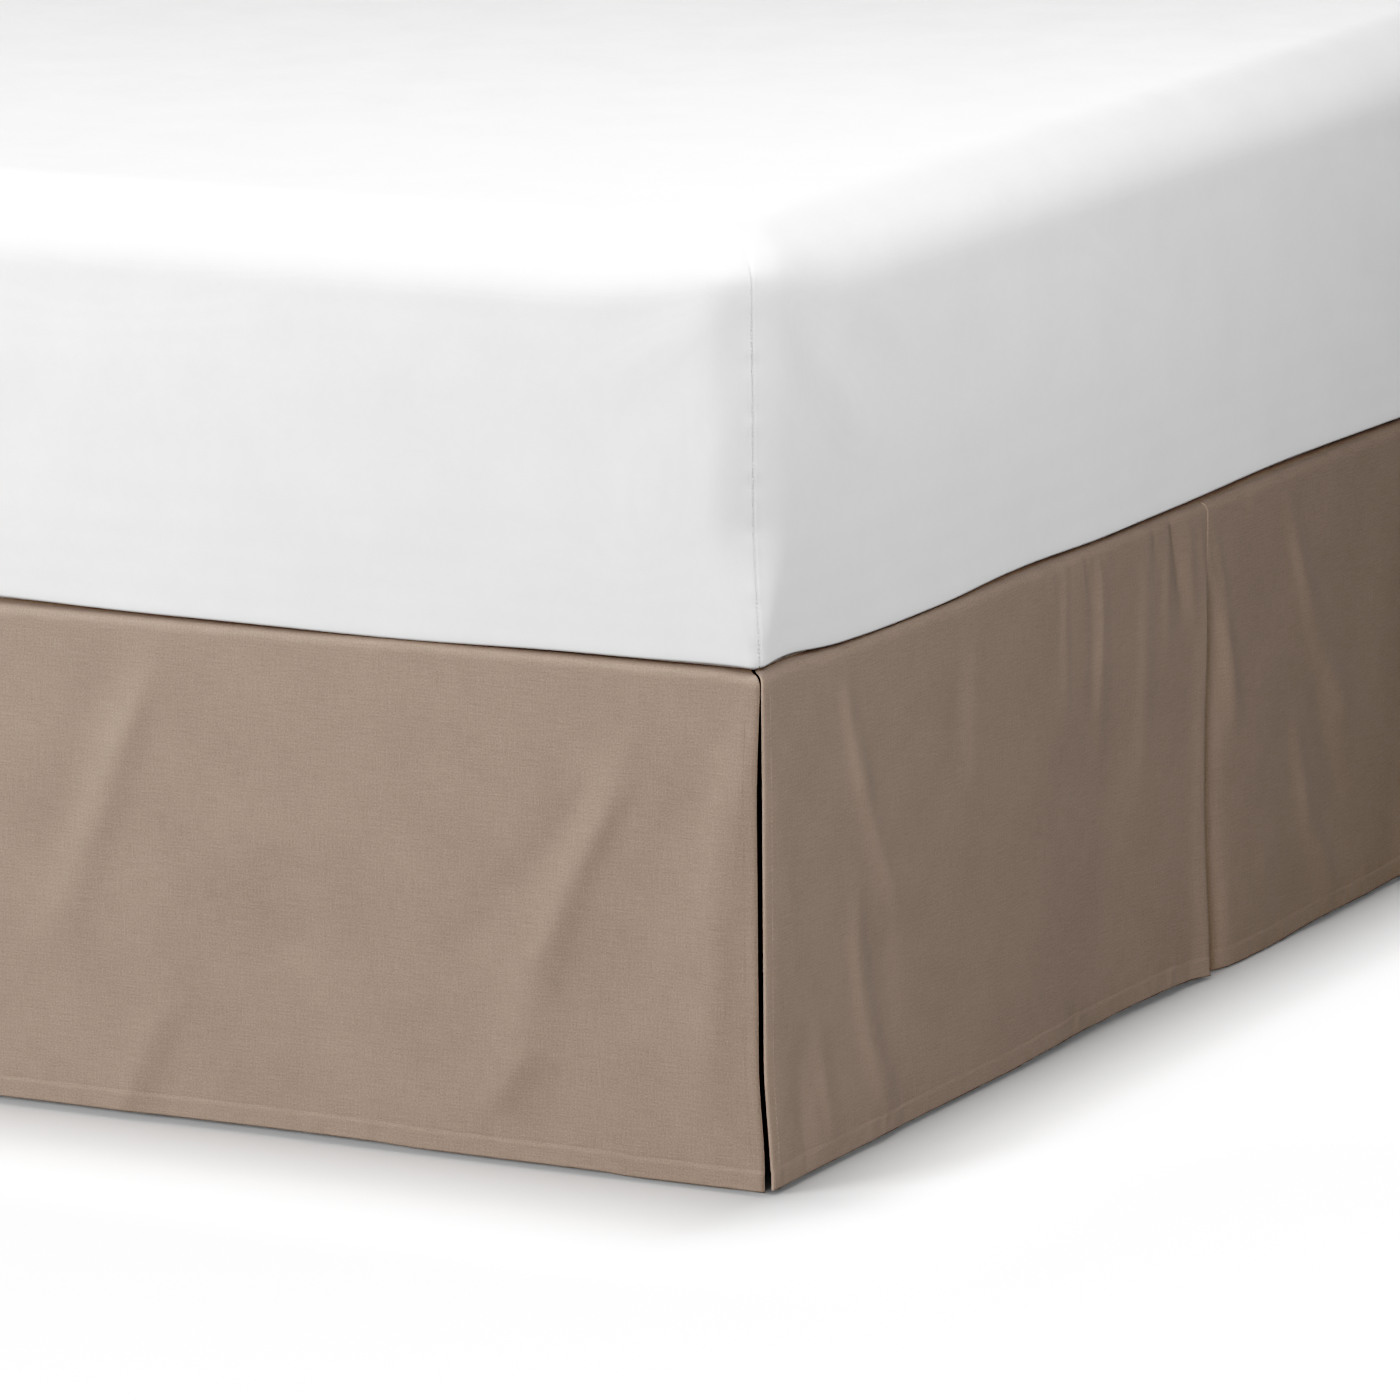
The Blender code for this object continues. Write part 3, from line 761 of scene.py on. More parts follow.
COVER_TOP = table(
    Crease,
    (86, 679, 148, 543, 26, 0.9),
    (60, 640, 110, 520, 18, -0.7),
    (343, 569, 529, 453, 30, -1.1),
    (310, 640, 560, 500, 34, 0.9),
    (230, 480, 420, 350, 30, 0.7),
    (640, 560, 860, 330, 36, -0.8),
    (700, 620, 980, 420, 40, 0.9),
    (540, 330, 780, 170, 30, 0.8),
    (820, 60, 790, 210, 16, -1.0),
    (1010, 500, 1240, 260, 44, -0.9),
    (980, 90, 1180, 140, 26, 0.8),
    (260, 900, 620, 1260, 46, 0.9),
    (900, 900, 1120, 1400, 50, -0.9),
    (330, 1500, 700, 1720, 44, 0.9),
    (1100, 1600, 1320, 1850, 40, -0.8),
)
COVER_LEFT = table(
    Crease,
    (14, 44, 120, 112, 16, 0.9),
    (10, 70, 70, 190, 15, -0.6),
    (70, 150, 110, 250, 26, 0.8),
    (420, 60, 640, 80, 30, -0.8),
    (900, 90, 1150, 200, 36, 0.8),
    (1450, 60, 1700, 150, 36, -0.8),
)
COVER_FOOT = table(
    Crease,
    (20, 37, 169, 175, 24, 1.3),
    (40, 52, 62, 140, 13, -1.0),
    (150, 60, 230, 110, 26, 0.7),
    (560, 70, 700, 150, 34, -0.7),
    (900, 60, 1180, 190, 40, 0.8),
    (1300, 50, 1460, 170, 30, -0.8),
)

# Where the mattress's lower edge hangs low over the skirt, or with a negative depth rises off
# it: a place along the edge from the corner in the picture, how far and how wide, in millimetres.
Sag = namedtuple("Sag", "along depth width")
LEFT_SAGS = table(
    Sag, (30, -2.2, 55), (140, -1.8, 95), (310, 1.0, 90), (650, -2.6, 90), (1000, 1.4, 200),
    (1600, 1.6, 220),
)
FOOT_SAGS = table(
    Sag, (40, -5.2, 48), (215, 3.2, 105), (310, 1.2, 50), (440, -1.2, 70), (570, 0.8, 60),
    (900, -3.4, 140), (1080, -1.2, 120), (1350, 1.2, 160),
)

# A block with rounded edges: its half sizes, its lowest and highest level, the radius of its
# upright edges and their radius at the bottom, the height over which one grows into the other,
# the radius above, in general and at the corners, the radius below, and its sides' bulge.
Block = namedtuple(
    "Block", "half_x half_y low high corner corner_foot taper top top_corner bottom bulge"
)

# How far from a block's edges its columns of points lie, in millimetres.
EDGE_COLUMNS = (0, 1, 2, 3, 4, 5, 6, 8, 10, 12, 15, 18, 22, 27, 32, 38, 45, 53, 62, 72, 84, 98)
BASE_COLUMNS = (0, 2, 4, 7, 10, 14, 20, 32)

# How far apart a block's other columns and rows lie, in metres.
MATTRESS_STEP = 0.013
MATTRESS_ROW = 0.005
BASE_STEP = 0.030


# The deck's grid, the finer rows of its hem at the head end, and how deep its seam is pressed.
DECK_COLUMNS = 90
DECK_ROWS = 120
DECK_HEM_ROWS = 30
DECK_HEM = 0.029
DECK_HEM_GAP = 0.030
SEAM_PRESS = 0.0002


def deck_mesh(sizes):
    """The platform sheet, with the pressed seam of its hem at the head end."""
    sheet = bmesh.new()
    bmesh.ops.create_grid(sheet, x_segments=DECK_COLUMNS, y_segments=DECK_ROWS, size=0.5)
    mesh = mesh_from(sheet, "skirt_deck")
    flat = coordinates(mesh)
    row = np.rint((flat[:, 1] + 0.5) * DECK_ROWS).astype(int)
    plain_rows = DECK_ROWS + 1 - DECK_HEM_ROWS
    plain = np.linspace(DECK_LOW.y, DECK_HIGH.y - DECK_HEM_GAP, plain_rows)
    hem = DECK_HIGH.y - DECK_HEM + np.linspace(0, DECK_HEM, DECK_HEM_ROWS)
    along = np.concatenate([plain, hem])[row]
    across = 2 * flat[:, 0] * DECK_HIGH.x
    level = (DECK_LOW.z + DECK_HIGH.z) / 2
    level = level - SEAM_PRESS * bell(DECK_HIGH.y - along - sizes.side_hem, 0.0012)
    move_points(mesh, np.stack([across, along, level], axis=-1))
    cloth_map(mesh, across, along)
    return solidified(mesh, "skirt_deck", sizes.cloth)


def deck_stitches(sizes):
    """The stitches of the deck's hem at the head end, on its upper side."""
    count = round((2 * DECK_HIGH.x - 0.004) / sizes.stitch_pitch)
    middles = np.linspace(0.002 - DECK_HIGH.x, DECK_HIGH.x - 0.002, count)
    place = np.full(count, DECK_HIGH.y - sizes.side_hem)
    level = np.full(count, DECK_HIGH.z - SEAM_PRESS)
    step = sizes.stitch / 2
    starts = np.stack([middles - step, place, level], axis=-1)
    ends = np.stack([middles + step, place, level], axis=-1)
    outs = np.tile([0.0, 0.0, 1.0], (count, 1))
    return stitch_mesh("skirt_deck_stitches", starts, ends, outs, sizes)


def block_columns(half, edge_columns, step):
    """Places of a block's columns from one side to the other: fine near both edges."""
    near = np.array(edge_columns) * MM
    count = round(2 * (half - near[-1]) / step)
    middle = np.linspace(near[-1] - half, half - near[-1], count + 1)
    return np.concatenate([near - half, middle[1:-1], half - near[::-1]])


def lies_along(edge, axis):
    """Whether an edge of a block runs along an axis."""
    return abs(edge.verts[0].co[axis] - edge.verts[1].co[axis]) > 1e-4


def sliced_block(name, *places):
    """A block from a cube, sliced at the given places along its three axes."""
    block = bmesh.new()
    bmesh.ops.create_cube(block, size=1.0)
    for axis in range(3):
        lengthwise = [edge for edge in block.edges if lies_along(edge, axis)]
        cuts = len(places[axis]) - 2
        bmesh.ops.subdivide_edges(block, edges=lengthwise, cuts=cuts, use_grid_fill=True)
    mesh = mesh_from(block, name)
    cube = coordinates(mesh)
    even = [np.linspace(-0.5, 0.5, len(stations)) for stations in places]
    return mesh, np.stack([np.interp(cube[:, i], even[i], places[i]) for i in range(3)], axis=-1)


def rounded_places(cube, block):
    """Where the points of a sliced block go once it is rounded."""
    height = cube[:, 2]
    from_corner = np.maximum(block.half_x - np.abs(cube[:, 0]), block.half_y - np.abs(cube[:, 1]))
    top = block.top + (block.top_corner - block.top) * bell(from_corner, 0.090)
    grown = ease((height - block.low) / block.taper)
    corner = block.corner_foot + (block.corner - block.corner_foot) * grown
    core_x = np.clip(cube[:, 0], corner - block.half_x, block.half_x - corner)
    core_y = np.clip(cube[:, 1], corner - block.half_y, block.half_y - corner)
    off_x = cube[:, 0] - core_x
    off_y = cube[:, 1] - core_y
    scale = np.maximum(np.abs(off_x), np.abs(off_y)) / np.maximum(np.hypot(off_x, off_y), 1e-9)
    below = np.clip((block.low + block.bottom - height) / block.bottom, 0.0, 1.0)
    above = np.clip((height - block.high + top) / top, 0.0, 1.0)
    inset = block.bottom * (1 - np.sqrt(1 - below**2)) + top * (1 - np.sqrt(1 - above**2))
    swell = block.bulge * np.sin(math.pi * (height - block.low) / (block.high - block.low)) - inset
    x = (core_x + off_x * scale) * (1 + swell / block.half_x)
    y = (core_y + off_y * scale) * (1 + swell / block.half_y)
    return np.stack([x, y, height], axis=-1)


def creases_lift(creases, along, down):
    """How far soft creases lift a cover, all in metres."""
    lift = np.zeros(len(along))
    for crease in creases:
        run = np.array([crease.end_along - crease.start_along, crease.end_down - crease.start_down])
        off_along = along / MM - crease.start_along
        off_down = down / MM - crease.start_down
        share = np.clip((off_along * run[0] + off_down * run[1]) / run.dot(run), 0.0, 1.0)
        away = np.hypot(off_along - run[0] * share, off_down - run[1] * share)
        fade = 0.45 + 0.55 * np.sin(math.pi * share)
        lift += crease.rise * MM * bell(away, crease.width) * fade
    return lift


def mattress_block(sizes):
    """The rounded block that the mattress starts from."""
    return Block(
        HALF_WIDTH, HALF_LENGTH, MATTRESS_LOW.z, MATTRESS_HIGH.z, sizes.corner,
        sizes.corner_foot, sizes.taper, sizes.top, sizes.top_corner, sizes.bottom, sizes.bulge,
    )


def mattress_levels(block):
    """The rows of the mattress: fine where its lower and upper edges are rounded."""
    low = block.low + block.bottom * (1 - np.cos(np.linspace(0, math.pi / 2, 6)))
    high = block.high - block.top * (1 - np.sin(np.linspace(0, math.pi / 2, 14)))
    middle = np.linspace(low[-1], high[0], round((high[0] - low[-1]) / MATTRESS_ROW) + 1)
    return np.concatenate([low, middle[1:-1], high])


def cover_lift(cube, facing, block, sizes):
    """How far seams, puckers and creases lift the mattress's cover."""
    height = cube[:, 2] - block.low
    down = block.high - cube[:, 2]
    from_left = cube[:, 0] + block.half_x
    from_foot = cube[:, 1] + block.half_y
    from_corner = np.maximum(block.half_x - np.abs(cube[:, 0]), block.half_y - np.abs(cube[:, 1]))
    at_end = np.abs(facing[:, 1]) > np.abs(facing[:, 0])
    sewn = ease((sizes.seam_top - height) / 0.010)
    seam = -sizes.seam_depth * bell(from_corner, 0.0014)
    seam += 0.0005 * bell(from_corner - 0.0045, 0.0030) * (0.5 + 0.5 * at_end)
    pull = waver(height, (0.0173, 0.5, 0.3), (0.0291, 0.5, 1.7))
    seam += 0.00035 * pull * bell(from_corner - 0.006, 0.007)
    tuck = -0.0022 * bell(np.hypot(from_corner, height - sizes.seam_top), 0.0065)
    tuck += 0.0010 * bell(np.hypot(from_corner, height - sizes.seam_top - 0.014), 0.011)
    lift = seam * sewn + tuck
    upward = ease((facing[:, 2] - 0.35) / 0.4)
    lift += creases_lift(COVER_TOP, from_left, from_foot) * upward
    from_right = 2 * block.half_x - from_left
    from_head = 2 * block.half_y - from_foot
    for creases, along, outward in (
        (COVER_LEFT, from_foot, -facing[:, 0]),
        (COVER_FOOT, from_left, -facing[:, 1]),
        (COVER_FOOT, from_right, facing[:, 1]),
        (COVER_LEFT, from_head, facing[:, 0]),
    ):
        lift += creases_lift(creases, along, down) * np.clip(outward, 0, 1)
    return lift


# How far the lower edge stays off the skirt's bend, beside the long sides and at the ends, and
# how far the finished cover may rise above the plain mattress.
SIDE_CLEAR = 0.0021
END_CLEAR = 0.0006
COVER_RISE = 0.0015


def edge_sag(cube, block, hang, skirt):
    """How low the mattress's lower edge hangs, always a little above the skirt's bend."""
    height = cube[:, 2] - block.low
    from_left = (cube[:, 0] + block.half_x) / MM
    from_foot = (cube[:, 1] + block.half_y) / MM
    from_edge = np.minimum(block.half_x - np.abs(cube[:, 0]), block.half_y - np.abs(cube[:, 1]))
    beside = np.abs(cube[:, 0]) / block.half_x > np.abs(cube[:, 1]) / block.half_y
    left = sum(sag.depth * bell(from_foot - sag.along, sag.width) for sag in LEFT_SAGS)
    foot = sum(sag.depth * bell(from_left - sag.along, sag.width) for sag in FOOT_SAGS)
    depth = hang + np.where(beside, left, foot) * MM
    lower = depth * ease(1 - height / 0.070) * ease(1 - from_edge / 0.006)
    _, outward, down, _ = bend_profile(skirt)
    clear = np.where(beside, SIDE_CLEAR, END_CLEAR)
    room = np.interp(-from_edge, outward, down) + MATTRESS_LOW.z - DECK_HIGH.z + height - clear
    return np.minimum(lower, np.maximum(room, 0.0))


def mattress_mesh(sizes, skirt):
    """The mattress in its fitted cover, with the seams at its corners."""
    block = mattress_block(sizes)
    across = block_columns(block.half_x, EDGE_COLUMNS, MATTRESS_STEP)
    along = block_columns(block.half_y, EDGE_COLUMNS, MATTRESS_STEP)
    mesh, cube = sliced_block("mattress_cover", across, along, mattress_levels(block))
    move_points(mesh, rounded_places(cube, block))
    facing = facings(mesh)
    places = coordinates(mesh) + facing * cover_lift(cube, facing, block, sizes)[:, None]
    places[:, 2] -= edge_sag(cube, block, sizes.hang, skirt)
    places[:, 2] = np.clip(places[:, 2], None, MATTRESS_HIGH.z + COVER_RISE)
    move_points(mesh, places)
    return mesh


# A corner seam faces outward halfway between two sides: its share of each direction.
DIAGONAL = 0.7071


def mattress_stitches(sizes):
    """The stitches that run up the four corner seams of the cover."""
    block = mattress_block(sizes)
    count = round((sizes.seam_top - 0.012) / sizes.stitch_pitch)
    middles = block.low + np.linspace(0.008, sizes.seam_top - 0.004, count)
    step = np.array([0.0, 0.0, sizes.stitch / 2])
    rows = []
    for side in (-1, 1):
        for end in (-1, 1):
            seam = np.tile([side * block.half_x, end * block.half_y, 0.0], (count, 1))
            seam[:, 2] = middles
            outs = np.tile([side * DIAGONAL, end * DIAGONAL, 0.0], (count, 1))
            sunk = outs * sizes.seam_depth * 0.5
            starts = rounded_places(seam - step, block) - sunk
            ends = rounded_places(seam + step, block) - sunk
            rows.append((starts, ends, outs))
    starts, ends, outs = (np.concatenate(part) for part in zip(*rows))
    return stitch_mesh("mattress_stitches", starts, ends, outs, sizes)


# The fine rows that carry a piped seam of the base: how far they reach above and below it.
PIPING_REACH = 0.008
PIPING_ROWS = 17


def base_mesh(sizes):
    """The base in its plain cover, with a piped seam along its upper and lower edges."""
    half_x, half_y = BASE_HIGH.x, BASE_HIGH.y
    block = Block(
        half_x, half_y, BASE_LOW.z, BASE_HIGH.z, sizes.corner, sizes.corner, 0.05,
        sizes.top, sizes.top, sizes.bottom, 0.0,
    )
    low_piping = block.low + sizes.bottom + 0.006
    high_piping = block.high - sizes.top - 0.004
    fine = np.linspace(-PIPING_REACH, PIPING_REACH, PIPING_ROWS)
    low = block.low + block.bottom * (1 - np.cos(np.linspace(0, math.pi / 2, 5)))[:-1]
    high = block.high - block.top * (1 - np.sin(np.linspace(0, math.pi / 2, 8)))
    middle = np.linspace(low_piping + PIPING_REACH, high_piping - PIPING_REACH, 12)[1:-1]
    levels = np.concatenate([low, low_piping + fine, middle, high_piping + fine, high])
    levels = np.unique(np.round(levels, 6))
    across = block_columns(half_x, BASE_COLUMNS, BASE_STEP)
    along = block_columns(half_y, BASE_COLUMNS, BASE_STEP)
    mesh, cube = sliced_block("base_cover", across, along, levels)
    move_points(mesh, rounded_places(cube, block))
    facing = facings(mesh)
    upright = 1 - np.abs(facing[:, 2])
    lift = np.zeros(len(cube))
    for piping in (low_piping, high_piping):
        off = cube[:, 2] - piping
        lift += sizes.piping * (bell(off, 0.0026) - 0.4 * bell(off, 0.0060))
    soft = 0.0012 * waver(cube[:, 0] + 0.7 * cube[:, 1], (0.41, 0.6, 0.4), (0.23, 0.4, 1.1))
    places = coordinates(mesh) + facing * ((lift + soft) * upright)[:, None]
    move_points(mesh, places)
    return mesh


# The turned grooves of a leg: how far each lies below its top, and their half width and depth.
GROOVES = (0.014, 0.022)
GROOVE_HALF = 0.0015
GROOVE_DEPTH = 0.0014
SAME_LEVEL = 1e-5


def leg_mesh(node, sizes):
    """A turned leg: rounded at its ends, with two turned grooves near its top."""
    low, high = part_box(node)
    middle = (low + high) / 2
    radius = (high.x - low.x) / 2
    height = high.z - low.z
    post = bmesh.new()
    foot = radius * sizes.leg_foot
    bmesh.ops.create_cone(
        post, cap_ends=True, segments=64, radius1=foot, radius2=radius, depth=height
    )
    for below in GROOVES:
        level = height / 2 - below
        for shift in (-GROOVE_HALF, 0.0, GROOVE_HALF):
            everything = post.verts[:] + post.edges[:] + post.faces[:]
            cut = (0, 0, level + shift)
            bmesh.ops.bisect_plane(post, geom=everything, plane_co=cut, plane_no=(0, 0, 1))
        for point in post.verts:
            if abs(point.co.z - level) < SAME_LEVEL:
                point.co.xy *= 1 - GROOVE_DEPTH / radius
    rims = [
        edge
        for edge in post.edges
        if all(abs(abs(point.co.z) - height / 2) < SAME_LEVEL for point in edge.verts)
    ]
    bmesh.ops.bevel(
        post, geom=rims, offset=0.003, segments=4, affect="EDGES", profile=0.5, material=-1
    )
    bmesh.ops.translate(post, vec=middle, verts=post.verts)
    mesh = mesh_from(post, "bed_" + node)
    mesh.set_sharp_from_angle(angle=math.radians(50))
    return mesh


# ---------------------------------------------------------------------------------------------
# Finishes
# ---------------------------------------------------------------------------------------------


# How coordinates in metres are scaled to millimetres.
MILLIMETRES = (1000.0, 1000.0, 1000.0)

# A plain weave: the pitch of its threads in millimetres, its sheen, how much its speckle and its
# thicker threads show, how far its colour strays, and the strength of its relief.
Weave = namedtuple("Weave", "pitch sheen fuzz streak spread relief")
SKIRT_WEAVE = Weave(0.5, 0.10, 1.50, 0.60, 0.28, 0.60)
DECK_WEAVE = Weave(0.6, 0.05, 0.45, 0.35, 0.12, 0.35)
MATTRESS_WEAVE = Weave(0.4, 0.05, 0.10, 0.08, 0.12, 0.10)
BASE_WEAVE = Weave(1.1, 0.05, 0.40, 0.30, 0.12, 0.60)


def finish_tree(name, roughness):
    """A new material, its node tree and its shader."""
    material = bpy.data.materials.new(name)
    material.use_nodes = True
    tree = material.node_tree
    shader = tree.nodes["Principled BSDF"]
    shader.inputs["Roughness"].default_value = roughness
    return material, tree, shader


def stretched(tree, place, scale):
    """The coordinates scaled along each axis, for streaks and grain."""
    mapping = tree.nodes.new("ShaderNodeMapping")
    mapping.inputs["Scale"].default_value = scale
    tree.links.new(place, mapping.inputs["Vector"])
    return mapping.outputs["Vector"]


def cloth_coordinates(tree):
    """The flat cloth's own map, in millimetres."""
    source = tree.nodes.new("ShaderNodeUVMap")
    source.uv_map = "Cloth"
    return stretched(tree, source.outputs["UV"], MILLIMETRES)


def object_coordinates(tree):
    """The place on the object, in millimetres."""
    source = tree.nodes.new("ShaderNodeTexCoord")
    return stretched(tree, source.outputs["Object"], MILLIMETRES)


def noise(tree, place, scale, detail=2.0, roughness=0.5):
    """Soft noise between 0 and 1; the scale is in features per millimetre."""
    node = tree.nodes.new("ShaderNodeTexNoise")
    node.inputs["Scale"].default_value = scale
    node.inputs["Detail"].default_value = detail
    node.inputs["Roughness"].default_value = roughness
    tree.links.new(place, node.inputs["Vector"])
    return node.outputs["Fac"]


def threads(tree, place, direction, pitch, wander):
    """Parallel threads with the given pitch in millimetres."""
    node = tree.nodes.new("ShaderNodeTexWave")
    node.wave_type = "BANDS"
    node.bands_direction = direction
    node.inputs["Scale"].default_value = 2 * math.pi / 20 / pitch
    node.inputs["Distortion"].default_value = wander
    node.inputs["Detail"].default_value = 1.0
    node.inputs["Detail Scale"].default_value = 0.3
    tree.links.new(place, node.inputs["Vector"])
    return node.outputs["Fac"]


def combined(tree, operation, first, second):
    """Two values joined by arithmetic; either may be a number."""
    node = tree.nodes.new("ShaderNodeMath")
    node.operation = operation
    for socket, value in zip(node.inputs, (first, second)):
        if isinstance(value, (int, float)):
            socket.default_value = value
        else:
            tree.links.new(value, socket)
    return node.outputs["Value"]


def weighted(tree, *parts):
    """The sum of values with their weights, each counted from its middle of one half."""
    total = 0.5
    for value, weight in parts:
        offset = combined(tree, "MULTIPLY", combined(tree, "SUBTRACT", value, 0.5), weight)
        total = combined(tree, "ADD", offset, total)
    return total


def shade(tree, shader, tone, color_value, spread):
    """The base colour, darker and lighter by the spread as the tone goes from 0 to 1."""
    ramp = tree.nodes.new("ShaderNodeMix")
    ramp.data_type = "RGBA"
    darker = [channel * (1 - spread) for channel in color_value]
    lighter = [min(channel * (1 + spread), 1.0) for channel in color_value]
    ramp.inputs["A"].default_value = (*darker, 1.0)
    ramp.inputs["B"].default_value = (*lighter, 1.0)
    tree.links.new(tone, ramp.inputs["Factor"])
    tree.links.new(ramp.outputs["Result"], shader.inputs["Base Color"])


def bumped(tree, shader, height, depth, strength):
    """Small relief from a height that goes from 0 to 1, with its depth in metres."""
    bump = tree.nodes.new("ShaderNodeBump")
    bump.inputs["Strength"].default_value = strength
    bump.inputs["Distance"].default_value = depth
    tree.links.new(height, bump.inputs["Height"])
    tree.links.new(bump.outputs["Normal"], shader.inputs["Normal"])


def woven_finish(name, color_value, place_of, cloth):
    """A plain weave: fine crossing threads, thicker ones here and there, and a soft nap."""
    material, tree, shader = finish_tree(name, 0.88)
    place = place_of(tree)
    warp = threads(tree, place, "X", cloth.pitch, 1.2)
    weft = threads(tree, place, "Y", cloth.pitch * 1.08, 1.2)
    weave = combined(tree, "MULTIPLY", warp, weft)
    speckle = noise(tree, place, 0.75, 2.0, 0.6)
    slubs = noise(tree, stretched(tree, place, (0.045, 0.9, 0.9)), 1.0, 2.0)
    ends = noise(tree, stretched(tree, place, (0.9, 0.045, 0.9)), 1.0, 2.0)
    cloud = noise(tree, place, 0.016, 2.0)
    nap = noise(tree, place, 0.11, 3.0)
    tone = weighted(
        tree,
        (weave, 0.10),
        (speckle, cloth.fuzz),
        (slubs, cloth.streak),
        (ends, cloth.streak * 0.8),
        (cloud, 0.35),
        (nap, 0.15),
    )
    shade(tree, shader, tone, color_value, cloth.spread)
    relief = weighted(tree, (weave, 0.7), (speckle, 0.5), (slubs, 0.35), (ends, 0.25))
    bumped(tree, shader, relief, 0.00025, cloth.relief)
    rough = combined(tree, "ADD", combined(tree, "MULTIPLY", speckle, 0.08), 0.84)
    tree.links.new(rough, shader.inputs["Roughness"])
    shader.inputs["Specular IOR Level"].default_value = 0.25
    shader.inputs["Sheen Weight"].default_value = cloth.sheen
    shader.inputs["Sheen Roughness"].default_value = 0.5
    return material


def thread_finish(name, color_value):
    """Twisted sewing thread."""
    material, tree, shader = finish_tree(name, 0.6)
    place = object_coordinates(tree)
    twist = noise(tree, place, 2.2, 1.0)
    shade(tree, shader, twist, color_value, 0.08)
    bumped(tree, shader, twist, 0.0001, 0.4)
    return material


def wood_finish(name, color_value):
    """Dark stained wood with its grain up the leg, a satin varnish and a few worn spots."""
    material, tree, shader = finish_tree(name, 0.4)
    place = object_coordinates(tree)
    grain = noise(tree, stretched(tree, place, (0.35, 0.35, 0.012)), 1.0, 6.0, 0.6)
    pores = noise(tree, stretched(tree, place, (1.8, 1.8, 0.05)), 1.0, 2.0)
    wear = noise(tree, place, 0.03, 3.0)
    tone = weighted(tree, (grain, 1.6), (pores, 0.5), (wear, 0.4))
    shade(tree, shader, tone, color_value, 0.55)
    bumped(tree, shader, weighted(tree, (grain, 0.5), (pores, 0.5)), 0.0003, 0.35)
    rough = combined(tree, "ADD", combined(tree, "MULTIPLY", grain, 0.25), 0.28)
    tree.links.new(rough, shader.inputs["Roughness"])
    shader.inputs["Coat Weight"].default_value = 0.25
    shader.inputs["Coat Roughness"].default_value = 0.2
    return material


def floor_finish(name, color_value):
    """A smooth pale studio floor."""
    material, tree, shader = finish_tree(name, 0.9)
    place = object_coordinates(tree)
    shade(tree, shader, noise(tree, place, 0.004, 2.0), color_value, 0.004)
    shader.inputs["Specular IOR Level"].default_value = 0.0
    return material


# ---------------------------------------------------------------------------------------------
# The studio
# ---------------------------------------------------------------------------------------------


# The tone curve: the light that reaches the camera, and how much of it is shown.
TONES = (
    (0.0167, 0.012),
    (0.0556, 0.098),
    (0.1111, 0.215),
    (0.2222, 0.400),
    (0.3889, 0.598),
    (0.5556, 0.770),
    (0.8333, 1.000),
)

# The studio's rectangular lights: where each stands and looks, its size, and what it lights: the
# bed, all of it but the foot drop, that drop alone or the floor.
Light = namedtuple("Light", "name place target size reach")
LIGHTS = (
    Light("key", (-5.0, 0.6, 1.9), (-0.7, 0.2, 0.3), (3.5, 2.0), "bed"),
    Light("back", (-2.5, 3.0, 2.6), (-0.5, 0.0, 0.5), (2.5, 2.0), "bed"),
    Light("top", (-0.15, -0.75, 3.6), (-0.15, -0.75, 0.0), (1.25, 0.6), "bed"),
    Light("foot", (-0.8, -2.6, 2.4), (-0.4, -1.0, 0.4), (1.6, 1.0), "rest"),
    Light("side", (-6.5, -3.0, 2.4), (-0.4, -1.0, 0.4), (2.0, 1.5), "foot drop"),
    Light("low", (-3.4, -2.1, 1.3), (-0.6, -1.0, 0.4), (1.0, 0.8), "foot drop"),
    Light("front", (-2.0, -3.2, 1.6), (-0.7, -1.0, 0.4), (1.2, 1.0), "foot drop"),
    Light("floor_key", (-6.0, 3.0, 1.6), (-0.7, 0.0, 0.3), (3.0, 1.5), "floor"),
    Light("floor_top", (-0.2, -0.5, 3.6), (-0.2, -0.5, 0.0), (1.3, 1.2), "floor"),
    Light("floor_near", (-0.15, -0.75, 3.6), (-0.15, -0.75, 0.0), (1.25, 0.6), "floor"),
    Light("floor_foot", (-1.5, -5.5, 1.3), (-0.4, -1.0, 0.4), (2.0, 1.5), "floor"),
    Light("fill_right", (4.6, 0.6, 0.8), (0.7, 0.2, 0.35), (3.5, 1.0), "bed"),
    Light("fill_head", (0.8, 5.2, 0.8), (0.2, 1.0, 0.35), (3.0, 1.0), "bed"),
)


def add_area_light(name, place, target, size, power):
    """A soft rectangular light that looks at its target."""
    light = bpy.data.lights.new(name, "AREA")
    light.shape = "RECTANGLE"
    light.size, light.size_y = size
    light.energy = power
    holder = bpy.data.objects.new(name, light)
    bpy.context.scene.collection.objects.link(holder)
    holder.location = place
    holder.rotation_euler = (Vector(target) - Vector(place)).to_track_quat("-Z", "Y").to_euler()
    return holder


def light_reaches(light, reach):
    """Let a light reach the floor or the foot drop alone, all but the floor, or all but both."""
    floor = ("studio_floor",)
    drop = ("skirt_foot_drop", "skirt_foot_drop_stitches")
    names = {"bed": floor, "rest": floor + drop, "foot drop": drop, "floor": floor}
    receivers = bpy.data.collections.new(light.name + "_reaches")
    for name in names[reach]:
        receivers.objects.link(bpy.data.objects[name])
    for listed in receivers.collection_objects:
        listed.light_linking.link_state = "EXCLUDE" if reach in ("bed", "rest") else "INCLUDE"
    light.light_linking.receiver_collection = receivers


